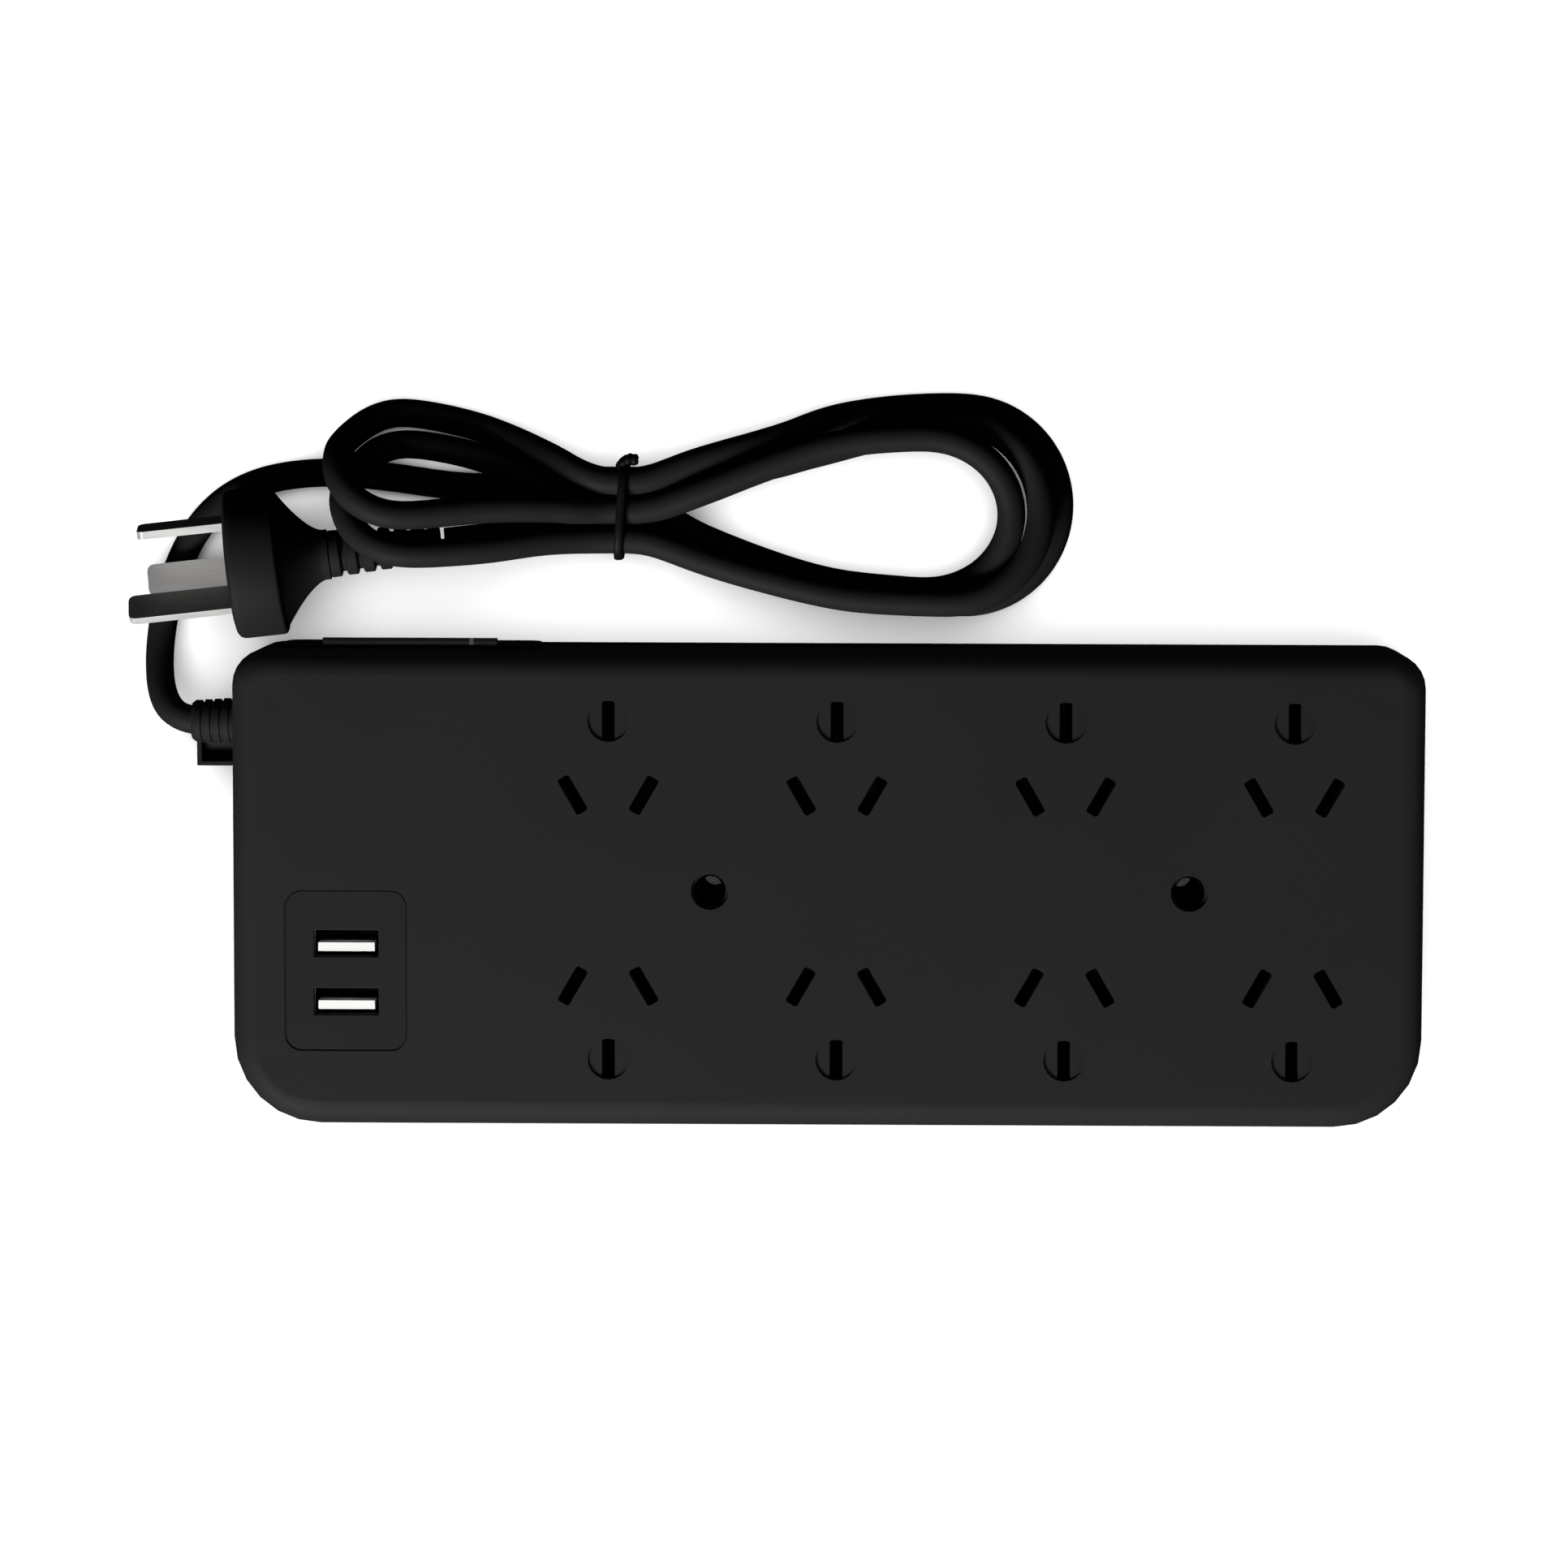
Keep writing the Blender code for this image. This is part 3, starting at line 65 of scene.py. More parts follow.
lens = bpy.data.cameras.new("table_camera")
lens.lens, lens.sensor_width = 104.11, 36.0
lens.shift_x, lens.shift_y = -0.0546, -0.06
lens.clip_start, lens.clip_end = 0.01, 20.0
camera = bpy.data.objects.new("table_camera", lens)
camera.location = (0.0116, 0.1036, 0.900)
camera.rotation_euler = [math.radians(a) for a in (-4.24, 0.257, 0.215)]
bpy.context.scene.collection.objects.link(camera)
bpy.context.scene.camera = camera
bpy.context.scene.view_settings.view_transform = "Standard"


class Reading:
    """A value read off a surface. Arithmetic on it adds Math nodes to its finish."""

    def __init__(self, finish, socket):
        self.finish, self.socket = finish, socket

    def maths(self, operation, *values):
        return self.finish.add("ShaderNodeMath", dict(enumerate(values)), operation=operation)

    def __add__(self, other):
        return self.maths("ADD", self, other)

    def __mul__(self, other):
        return self.maths("MULTIPLY", self, other)

    def __sub__(self, other):
        return self.maths("SUBTRACT", self, other)

    def __rsub__(self, other):
        return self.maths("SUBTRACT", other, self)

    def __pow__(self, other):
        return self.maths("POWER", self, other)

    __radd__, __rmul__ = __add__, __mul__


class Finish:
    """A surface finish: one Principled shader, with what varies over the piece drawn from its own place."""

    def __init__(self, name, colour, roughness, **fixed):
        self.material = bpy.data.materials.new(name)
        self.material.use_nodes = True
        self.tree = self.material.node_tree
        self.shader = self.tree.nodes["Principled BSDF"]
        self.give("Base Color", (*colour, 1))
        self.give("Roughness", roughness)
        for socket, value in fixed.items():
            self.give(socket.replace("_", " "), value)
        self.place = self.add("ShaderNodeTexCoord", {}, output="Object")

    def give(self, socket, value):
        if isinstance(value, Reading):
            self.tree.links.new(value.socket, self.shader.inputs[socket])
        else:
            self.shader.inputs[socket].default_value = value

    def add(self, kind, values, output=0, stops=None, **settings):
        """Any node: its settings first, then what its sockets hold or take."""
        made = self.tree.nodes.new(kind)
        for name, value in settings.items():
            setattr(made, name, value)
        for at, colour in stops or ():
            grade = made.color_ramp.elements
            stop = grade[0] if at <= 0 else grade[-1] if at >= 1 else grade.new(at)
            stop.position, stop.color = at, (*colour, 1)
        for name, value in values.items():
            if isinstance(value, Reading):
                self.tree.links.new(value.socket, made.inputs[name])
            else:
                made.inputs[name].default_value = value
        return Reading(self, made.outputs[output])

    def noise(self, scale, detail=2.0, roughness=0.5, place=None):
        values = {"Vector": place or self.place, "Scale": scale, "Detail": detail, "Roughness": roughness}
        return self.add("ShaderNodeTexNoise", values, output="Fac")

    def stretched(self, x, y, z):
        return self.add("ShaderNodeMapping", {"Vector": self.place, "Scale": (x, y, z)})

    def between(self, low, high, share):
        """A colour between two, by share."""
        values = {"Factor": share, "A": (*low, 1), "B": (*high, 1)}
        made = self.tree.nodes.new("ShaderNodeMix")
        made.data_type = "RGBA"
        for name, value in values.items():
            socket = [s for s in made.inputs if s.name == name and s.enabled][0]
            if isinstance(value, Reading):
                self.tree.links.new(value.socket, socket)
            else:
                socket.default_value = value
        return Reading(self, [s for s in made.outputs if s.enabled][0])

    def relief(self, height, depth, under=None):
        """Bumps of that depth in metres where height goes from 0 to 1."""
        values = {"Height": height, "Distance": depth, "Strength": 1.0}
        if under:
            values["Normal"] = under
        return self.add("ShaderNodeBump", values)


def solid(name, bm, finish, body="housing", smooth=35):
    """A finished piece from a bmesh that this uses up; edges sharper than smooth degrees stay crisp."""
    mesh = bpy.data.meshes.new(name)
    bmesh.ops.remove_doubles(bm, verts=bm.verts, dist=1e-6)
    bmesh.ops.recalc_face_normals(bm, faces=bm.faces)
    bm.to_mesh(mesh)
    bm.free()
    mesh.polygons.foreach_set("use_smooth", [True] * len(mesh.polygons))
    mesh.set_sharp_from_angle(angle=math.radians(smooth))
    mesh.materials.append(finish.material)
    piece = bpy.data.objects.new(name, mesh)
    bpy.context.scene.collection.objects.link(piece)
    if body:
        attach(piece, body)
    return piece


white_sweep = Finish("white_sweep", (0.9, 0.9, 0.9), 0.7, Specular_IOR_Level=0.0)
clouding = white_sweep.noise(6)
white_sweep.give("Base Color", white_sweep.between((0.90, 0.90, 0.90), (0.92, 0.92, 0.92), clouding))
bm = bmesh.new()
just_below = Matrix.Translation((0, 0, -0.05 * mm))
bmesh.ops.create_grid(bm, x_segments=1, y_segments=1, size=6, matrix=just_below)
table = solid("table_top", bm, white_sweep, body=None)
table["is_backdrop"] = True
table.visible_glossy = False
table.visible_diffuse = False

object_light = bpy.data.collections.new("lit_by_key")
table_light = bpy.data.collections.new("lit_by_wash")
for group in (object_light, table_light):
    bpy.context.scene.collection.children.link(group)
table_light.objects.link(table)


def softbox(name, place, aim, size, power, only=None):
    """A square area light, aimed at a point. only limits what it falls on."""
    light = bpy.data.lights.new(name, "AREA")
    light.shape, light.size, light.energy = "SQUARE", size, power
    lamp = bpy.data.objects.new(name, light)
    lamp.location = place
    lamp.rotation_euler = (Vector(aim) - Vector(place)).to_track_quat("-Z", "Y").to_euler()
    bpy.context.scene.collection.objects.link(lamp)
    if only:
        lamp.light_linking.receiver_collection = only
    return lamp


key = softbox("key_softbox", (-0.50, -0.90, 0.76), (0, 0, 0), 0.5, 28.0)
fill = softbox("rear_fill", (0.3, 1.2, 0.12), (0, 0, 0), 0.8, 2.0)
wash = softbox("table_wash", (0, 0, 2.2), (0, 0, 0), 3.0, 130.0, only=table_light)
side = softbox("right_fill", (1.1, -0.45, 0.45), (0, 0, 0), 0.6, 3.5)
for lamp in (key, fill, side):
    lamp.light_linking.receiver_collection = object_light

flex_key = softbox("flex_key", key.location, (0, 0, 0), key.data.size, key.data.energy)

# the room: dim overhead and in front, dark behind and below
world = bpy.data.worlds.new("studio")
world.use_nodes = True
bpy.context.scene.world = world
room = world.node_tree
ahead = room.nodes.new("ShaderNodeTexCoord")
split = room.nodes.new("ShaderNodeSeparateXYZ")
room.links.new(ahead.outputs["Generated"], split.inputs[0])
lift = room.nodes.new("ShaderNodeMath")
lift.operation = "MULTIPLY_ADD"
lift.inputs[1].default_value, lift.inputs[2].default_value = -0.6, 0.0
room.links.new(split.outputs["Y"], lift.inputs[0])
total = room.nodes.new("ShaderNodeMath")
room.links.new(split.outputs["Z"], total.inputs[0])
room.links.new(lift.outputs[0], total.inputs[1])
grade = room.nodes.new("ShaderNodeValToRGB")
grade.color_ramp.elements[0].position, grade.color_ramp.elements[0].color = 0.1, (0.004, 0.004, 0.004, 1)
grade.color_ramp.elements[1].position, grade.color_ramp.elements[1].color = 1.0, (0.06, 0.06, 0.06, 1)
room.links.new(total.outputs[0], grade.inputs[0])
room.links.new(grade.outputs[0], room.nodes["Background"].inputs["Color"])

# ---------------------------------------------------------------- flex
# A round three-core flex in soft black PVC, 5.6 mm across. It leaves the strain relief, runs round
# the plug, makes two and a half flat figure-of-eight turns through the tie, and ends in the plug.

flex_across = 5.6 * mm
flex_pvc = Finish("flex_pvc", (0.011, 0.011, 0.0115), 0.62, Specular_IOR_Level=0.07)
grain = flex_pvc.noise(1800, 3)
slack = flex_pvc.noise(55, 2)
flex_pvc.give("Roughness", slack * 0.1 + grain * 0.06 + 0.56)
flex_pvc.give("Base Color", flex_pvc.between((0.0095, 0.0095, 0.010), (0.0135, 0.0135, 0.014), slack))
flex_pvc.give("Normal", flex_pvc.relief(grain, 0.012 * mm, flex_pvc.relief(slack, 0.12 * mm)))

tie_x, tie_y = -41.0, 72.7
strand_pitch = 5.7
rows = {"low": 4.55, "high": 10.3}
columns = {"near": tie_y - strand_pitch, "middle": tie_y, "far": tie_y + strand_pitch}


def through_tie(column, row, way):
    """Three points straight through the tie; way is 1 to the right and -1 to the left."""
    return [(tie_x + way * step, columns[column], rows[row]) for step in (-4.5, 0, 4.5)]


def round_end(centre, reach, heights, angles, hold=0.0, count=12):
    """The bent end of a turn: part of an ellipse, whose height eases over after a share of it."""
    points = []
    for i in range(count + 1):
        turn = math.radians(angles[0] + (angles[1] - angles[0]) * i / count)
        ease = max(0, (i / count - hold) / (1 - hold))
        height = heights[0] + (heights[1] - heights[0]) * ease * ease * (3 - 2 * ease)
        points.append((centre[0] + reach[0] * math.cos(turn), centre[1] + reach[1] * math.sin(turn), height))
    return points


lead = [
    (-115.2, 31.2, 12.6),
    (-120.5, 31.2, 12.6),
    (-125.9, 31.2, 12.6),
    (-129.5, 32.7, 11.8),
    (-131.7, 36.8, 9.2),
    (-132.6, 42.5, 6.0),
    (-132.4, 48.9, 3.6),
    (-131.1, 55.6, 3.0),
    (-128.6, 62.6, 3.0),
    (-124.8, 69.4, 3.0),
    (-119.0, 75.0, 3.0),
    (-112.0, 78.2, 3.0),
    (-105.5, 79.4, 3.0),
    (-99.4, 79.8, 3.0),
]
under_turns = [(-87, 78.9, 3.0), (-74.5, 77.2, 3.0), (-62, 76.9, 3.1), (-51.5, 78.0, 3.7)]

# each turn: the run out from the tie, its bent end, the run back, and its place in the tie
turns = [
    (
        [(-25.6, 79.2, 3.4), (-11.6, 81.5, 3.4), (4, 86.2, 6.0)],
        round_end((23.8, 72.9), (17.8, 18), (7.9, 13.2), (82, -98)),
        [(4, 55.9, 13.2), (-12, 59.4, 12.6), (-25.8, 63.3, 11.6)],
        through_tie("near", "high", -1),
    ),
    (
        [(-55.7, 66.8, 13.5), (-67.8, 65.2, 18.0)],
        round_end((-81.3, 75.2), (14.0, 10.9), (20.9, 8.8), (-104, -254), count=10),
        [(-70.8, 83.6, 8.8), (-60.2, 79.7, 9.2), (-51.8, 74.9, 7.4)],
        through_tie("middle", "low", 1),
    ),
    (
        [(-27.5, 68.3, 7.2), (-13.7, 62.7, 8.0), (0, 58.7, 8.2)],
        round_end((18.6, 72.1), (17.2, 15.4), (8.1, 12.8), (-104, 98)),
        [(2, 86.0, 13.0), (-11.9, 81.7, 12.8), (-25.7, 76.3, 12.0)],
        through_tie("middle", "high", -1),
    ),
    (
        [(-53.8, 73.1, 13.2), (-65.9, 73.2, 17.0)],
        round_end((-81.8, 82.0), (14.4, 10.4), (21.2, 4.0), (-104, -250), 0.22, 10),
        [(-71.6, 89.5, 3.6), (-60.1, 85.4, 6.4)],
        through_tie("far", "high", 1),
    ),
    (
        [(-27.6, 81.8, 9.6), (-11.7, 86.4, 8.0), (4, 91.2, 4.8)],
        round_end((26.3, 73.7), (19.1, 19.4), (2.9, 2.9), (84, -104)),
        [(4, 55.8, 2.9), (-11.8, 58.7, 2.9), (-25.7, 62.9, 3.3)],
        through_tie("near", "low", -1),
    ),
]
to_plug = [(-55.7, 68.0, 6.6), (-65.5, 67.5, 10.2), (-71.8, 67.0, 12.35), (-75.3, 66.6, 12.8)]

route = lead + under_turns + through_tie("far", "low", 1)
for out, bend, back, tied in turns:
    route += out + bend + back + tied
route += to_plug


def laid(points, spacing=1.0):
    """A smooth line through the points (centripetal Catmull-Rom), sampled evenly."""
    knots = np.array(points, float)
    knots = np.vstack([2 * knots[0] - knots[1], knots, 2 * knots[-1] - knots[-2]])
    fine = []
    for a, b, c, d in zip(knots, knots[1:], knots[2:], knots[3:]):
        t1 = np.linalg.norm(b - a) ** 0.5
        t2 = t1 + np.linalg.norm(c - b) ** 0.5
        t3 = t2 + np.linalg.norm(d - c) ** 0.5
        for t in np.linspace(t1, t2, 24, endpoint=False):
            ab, bc = a + t / t1 * (b - a), b + (t - t1) / (t2 - t1) * (c - b)
            cd = c + (t - t2) / (t3 - t2) * (d - c)
            abc, bcd = ab + t / t2 * (bc - ab), bc + (t - t1) / (t3 - t1) * (cd - bc)
            fine.append(abc + (t - t1) / (t2 - t1) * (bcd - abc))
    fine = np.array([*fine, knots[-2]])
    run = np.concatenate([[0], np.cumsum(np.linalg.norm(np.diff(fine, axis=0), axis=1))])
    at = np.linspace(0, run[-1], int(run[-1] / spacing) + 1)
    return np.stack([np.interp(at, run, fine[:, i]) for i in range(3)], 1)


def eased(line, passes):
    for _ in range(passes):
        line = np.vstack([line[:1], (line[:-2] + 2 * line[1:-1] + line[2:]) / 4, line[-1:]])
    return line


def settled(line, across, passes=40):
    """Strands that touch are pushed apart until they lie on each other; the ends and the tie hold them."""
    count = np.arange(len(line))
    apart = np.abs(count[:, None] - count[None]) > 2.4 * across
    held = np.clip((np.abs(line[:, 0] - tie_x) - 4) / 8, 0, 1)
    held *= np.clip((count - 24) / 12, 0, 1) * np.clip((count[-1] - 6 - count) / 12, 0, 1)
    for _ in range(passes):
        gaps = line[:, None] - line[None]
        length = np.linalg.norm(gaps, axis=2) + 1e-9
        press = np.where(apart & (length < across), across - length, 0)
        push = (gaps / length[..., None] * press[..., None]).sum(1)
        push /= np.maximum(1, (press > 0).sum(1))[:, None]
        line = line + eased(push * 0.5, 2) * held[:, None]
        line[:, 2] = np.maximum(line[:, 2], across / 2 + 0.1)
    return line


flex_line = eased(settled(eased(laid(route), 12), flex_across / mm), 3) * mm
flex_curve = bpy.data.curves.new("flex", "CURVE")
flex_curve.dimensions = "3D"
flex_curve.bevel_depth, flex_curve.bevel_resolution = flex_across / 2, 5
flex_curve.use_fill_caps = True
flex_curve.materials.append(flex_pvc.material)
run = flex_curve.splines.new("POLY")
run.points.add(len(flex_line) - 1)
for point, (x, y, z) in zip(run.points, flex_line):
    point.co = (x, y, z, 1)
run.use_smooth = True
flex = bpy.data.objects.new("flex", flex_curve)
bpy.context.scene.collection.objects.link(flex)
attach(flex, "housing")
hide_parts("power_cord", "cord_hank_left", "cord_hank_right")

# ---------------------------------------------------------------- tie
# A twist tie: steel wire in a flat black PVC ribbon, put once round the bundle and twisted
# shut on its rear side, with the twisted end left standing out.

tie_pvc = Finish("tie_pvc", (0.003, 0.003, 0.003), 0.5, Specular_IOR_Level=0.08)
tie_pvc.give("Roughness", tie_pvc.noise(700) * 0.15 + 0.48)
tie_pvc.give("Normal", tie_pvc.relief(tie_pvc.noise(900), 0.02 * mm))
ribbon_width, ribbon_thickness = 1.7 * mm, 0.9 * mm


def swept(bm, line, width, thickness, closed=False, twist=0.0):
    """A flat round-edged ribbon along a line of points, turned about itself by twist radians a step."""
    line = [Vector(p) for p in line]
    count = len(line)
    rings, up = [], Vector((1, 0, 0))
    for i, here in enumerate(line):
        ahead_point = line[(i + 1) % count] if closed else line[min(i + 1, count - 1)]
        behind_point = line[i - 1] if closed or i else line[0]
        along = (ahead_point - behind_point).normalized()
        side = (up - along * up.dot(along)).normalized()
        side = Matrix.Rotation(twist * i, 3, along) @ side
        out = along.cross(side)
        ring = []
        for step in range(12):
            angle = 2 * math.pi * step / 12
            reach_x, reach_y = math.cos(angle), math.sin(angle)
            push = 1 / max(abs(reach_x) ** 4 + abs(reach_y) ** 4, 1e-9) ** 0.25
            spot = here + side * (reach_x * push * width / 2) + out * (reach_y * push * thickness / 2)
            ring.append(bm.verts.new(spot))
        rings.append([bm.edges.new(pair) for pair in zip(ring, ring[1:] + ring[:1])])
    pairs = list(zip(rings, rings[1:] + (rings[:1] if closed else [])))
    for near, far in pairs:
        bmesh.ops.bridge_loops(bm, edges=near + far)
    if not closed:
        for ring in (rings[0], rings[-1]):
            bmesh.ops.contextual_create(bm, geom=ring)


band = []
half_y, half_z, middle_z = 9.35, 6.5, 7.45
squareness = 3.6
for i in range(48):
    angle = 2 * math.pi * i / 48
    reach_y, reach_z = math.cos(angle), math.sin(angle)
    push = 1 / (abs(reach_y) ** squareness + abs(reach_z) ** squareness) ** (1 / squareness)
    x = tie_x + 0.6 * reach_y * push
    y = tie_y + half_y * reach_y * push
    z = middle_z + half_z * reach_z * push
    band.append((x * mm, y * mm, z * mm))
bm = bmesh.new()
swept(bm, band, ribbon_width, ribbon_thickness, closed=True)

# its two ends, wound round each other along a short curl
tail_steps, half_turns, tail_spread = 30, 3.6, 0.75
for strand in (0, math.pi):
    tail = []
    for i in range(tail_steps + 1):
        t = i / tail_steps
        turn = strand + t * half_turns * math.pi
        ease = math.sin(t * math.pi) ** 0.5 * tail_spread
        curl = -0.5 + 2.6 * t
        x = tie_x + 1.9 - 1.5 * math.cos(curl) + ease * math.cos(turn) * 0.7
        y = tie_y + 8.8 + 1.3 * math.sin(curl) + ease * math.cos(turn) * 0.5
        z = 10.6 + 1.2 * t + ease * math.sin(turn)
        tail.append((x * mm, y * mm, z * mm))
    swept(bm, tail, 2.1 * mm, 1.5 * mm, twist=0.38)
tie = solid("tie_ribbon", bm, tie_pvc, smooth=60)
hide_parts("cord_tie")

# ---------------------------------------------------------------- plug
# A round three-pin plug, injection moulded over its pins and the end of the flex in one shot of
# black PVC: a flange to grip, a waisted cone, and a ribbed strain relief. Pins are plated brass.

plug_pvc = Finish("plug_pvc", (0.0115, 0.0115, 0.012), 0.6, Specular_IOR_Level=0.06)
spark = plug_pvc.noise(2600, 2)
haze = plug_pvc.noise(90, 3)
plug_pvc.give("Roughness", haze * 0.1 + spark * 0.08 + 0.54)
plug_pvc.give("Base Color", plug_pvc.between((0.0105, 0.0105, 0.011), (0.0135, 0.0135, 0.014), haze))
plug_pvc.give("Normal", plug_pvc.relief(spark, 0.02 * mm))

plug_face = Vector((-117.0, 62.0, 15.4)) * mm
plug_yaw, plug_pitch = math.radians(6.3), math.radians(3.5)
plug_place = (
    Matrix.Translation(plug_face)
    @ Matrix.Rotation(plug_yaw, 4, "Z")
    @ Matrix.Rotation(plug_pitch, 4, "Y")
    @ Matrix.Rotation(math.pi / 2, 4, "Y")
)


def turned(bm, profile, steps, place):
    """Spins a profile of (radius, height) in millimetres about its axis."""
    line = [bm.verts.new((radius * mm, 0, height * mm)) for radius, height in profile]
    line += [bm.edges.new(pair) for pair in zip(line, line[1:])]
    axis = {"axis": (0, 0, 1), "cent": (0, 0, 0)}
    bmesh.ops.spin(bm, geom=line, **axis, angle=2 * math.pi, steps=steps, use_merge=True)
    bmesh.ops.remove_doubles(bm, verts=bm.verts, dist=1e-6)
    bmesh.ops.transform(bm, matrix=place, verts=bm.verts[:])


flange, thickness, cone, neck, neck_length = 14.6, 9.8, 8.4, 4.9, 1.0
body_profile = [(0, 0), (flange - 1.6, 0), (flange - 0.9, 0.15), (flange - 0.35, 0.55), (flange - 0.06, 1.2)]
body_profile += [(flange, 1.8), (flange, 9.0), (flange - 0.15, 9.45), (flange - 0.5, 9.75)]
for i in range(13):
    t = i / 12
    body_profile.append((neck + (flange - 1.2 - neck) * (1 - t) ** 1.5, thickness + cone * t))
neck_end = thickness + cone + neck_length
body_profile += [(neck, neck_end), (0, neck_end)]
bm = bmesh.new()
turned(bm, body_profile, 96, plug_place)
plug_body = solid("plug_moulding", bm, plug_pvc, smooth=28)
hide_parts("plug_body")

relief_length, ribs = 23.0, 7
relief_root, taper, groove = 4.6, 0.9, 1.0
pitch = relief_length / ribs
relief_profile = [(0, 0)]
for i in range(ribs):
    radius = relief_root - taper * i / (ribs - 1)
    start = pitch * i
    relief_profile += [(radius - 0.25, start), (radius, start + 0.25), (radius, start + 0.58 * pitch)]
    relief_profile += [(radius - 0.2, start + 0.66 * pitch)]
    if i < ribs - 1:
        relief_profile += [(radius - groove, start + 0.74 * pitch), (radius - groove, start + 0.94 * pitch)]
relief_profile.append((0, pitch * (ribs - 0.34)))
bm = bmesh.new()
turned(bm, relief_profile, 48, plug_place @ Matrix.Translation((0, 0, (neck_end + 0.05) * mm)))
plug_relief = solid("plug_ribbed_relief", bm, plug_pvc, smooth=28)
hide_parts("plug_relief")

pin_plate = Finish("pin_plate", (0.5, 0.49, 0.48), 0.42, Metallic=0.35)
drawn = pin_plate.noise(900, 2, place=pin_plate.stretched(0.08, 1, 1))
pin_plate.give("Roughness", drawn * 0.2 + 0.3)
pin_plate.give("Base Color", pin_plate.between((0.40, 0.395, 0.385), (0.56, 0.55, 0.54), drawn))


def dressed(source, name, finish, body="housing", width=0.15, sharp=30, segments=2):
    """A copy of a moulded or pressed solid with its triangles joined and its edges slightly broken."""
    bm = bmesh.new()
    bm.from_mesh(node[source].data)
    bmesh.ops.remove_doubles(bm, verts=bm.verts, dist=2e-6)
    bmesh.ops.dissolve_degenerate(bm, edges=bm.edges, dist=1e-6)
    bmesh.ops.dissolve_limit(bm, angle_limit=math.radians(0.3), verts=bm.verts, edges=bm.edges)
    piece = solid(name, bm, finish, body, sharp)
    edge = piece.modifiers.new("broken_edges", "BEVEL")
    edge.width, edge.segments, edge.limit_method = width * mm, segments, "ANGLE"
    edge.angle_limit = math.radians(sharp)
    even = piece.modifiers.new("flat_faces_flat", "WEIGHTED_NORMAL")
    even.weight, even.keep_sharp = 100, True
    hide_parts(source)
    return piece


pins = []
for pin in ("earth", "live", "neutral"):
    made = dressed(f"plug_pin_{pin}", f"pin_{pin}", pin_plate, width=0.3, segments=3)
    pins.append(made)

# ---------------------------------------------------------------- strain relief at the housing
# A ribbed sleeve of the same PVC, moulded on the flex and gripped by the housing's end wall,
# with an open half-round trough along its front side.

gland = dressed("cord_gland", "ribbed_sleeve", plug_pvc, width=0.12, sharp=34)

# ---------------------------------------------------------------- housing
# Two mouldings in black ABS with a fine spark-eroded surface: a top cover with the socket slots
# and screw-hole sleeves, and a base closed on it with five screws from below.

housing_abs = Finish("housing_abs", (0.0145, 0.0145, 0.0148), 0.6, Specular_IOR_Level=0.06)
spark = housing_abs.noise(2200, 3)
flow = housing_abs.noise(22, 3)
marks = 0.0
for x, y in ((-106.8, 37.4), (-57.3, 37.4), (107.4, 37.4), (-107.6, -32.7), (107.4, -32.7)):
    values = {0: housing_abs.place, 1: (x * mm, y * mm, 30 * mm)}
    away = housing_abs.add("ShaderNodeVectorMath", values, output="Value", operation="DISTANCE")
    bell = away.maths("EXPONENT", away * away * (-1 / (2.2 * mm) ** 2))
    marks = bell + marks
housing_abs.give("Roughness", flow * 0.07 + spark * 0.08 + 0.54)
housing_abs.give("Base Color", housing_abs.between((0.0132, 0.0132, 0.0135), (0.0158, 0.0158, 0.0160), flow))
sunk = housing_abs.relief(1.0 - marks, 0.05 * mm)
housing_abs.give("Normal", housing_abs.relief(spark, 0.012 * mm, sunk))

top = dressed("top_cover", "top_moulding", housing_abs, width=0.12)
base = dressed("base_cover", "base_moulding", housing_abs, width=0.2)

foot_rubber = Finish("foot_rubber", (0.02, 0.02, 0.021), 0.75, Specular_IOR_Level=0.25)
foot_rubber.give("Roughness", foot_rubber.noise(900) * 0.2 + 0.62)
foot_rubber.give("Normal", foot_rubber.relief(foot_rubber.noise(1500), 0.02 * mm))

screw_steel = Finish("screw_steel", (0.46, 0.46, 0.47), 0.35, Metallic=1.0)
screw_steel.give("Roughness", screw_steel.noise(1200) * 0.25 + 0.25)
stain = screw_steel.noise(500)
screw_steel.give("Base Color", screw_steel.between((0.40, 0.40, 0.42), (0.54, 0.54, 0.54), stain))


def painted(finish, *names):
    for name in names:
        for place in node[name].material_slots:
            place.material = finish.material


painted(foot_rubber, *[f"foot_{i}" for i in range(1, 5)])
painted(screw_steel, *[f"housing_screw_{i}" for i in range(1, 6)], "clamp_screw_1", "clamp_screw_2")

# ---------------------------------------------------------------- USB panel
# A separate black plate let into the top cover, over two pressed and plated sockets, each with
# a white tongue that carries four contacts.

panel_abs = Finish("panel_abs", (0.0135, 0.0135, 0.0138), 0.6, Specular_IOR_Level=0.06)
flow = panel_abs.noise(40)
spark = panel_abs.noise(2600, 2)
panel_abs.give("Base Color", panel_abs.between((0.0125, 0.0125, 0.0127), (0.0145, 0.0145, 0.0148), flow))
panel_abs.give("Roughness", spark * 0.1 + panel_abs.noise(30) * 0.05 + 0.52)
panel_abs.give("Normal", panel_abs.relief(spark, 0.01 * mm))
panel = dressed("usb_bezel", "usb_plate", panel_abs, width=0.15)

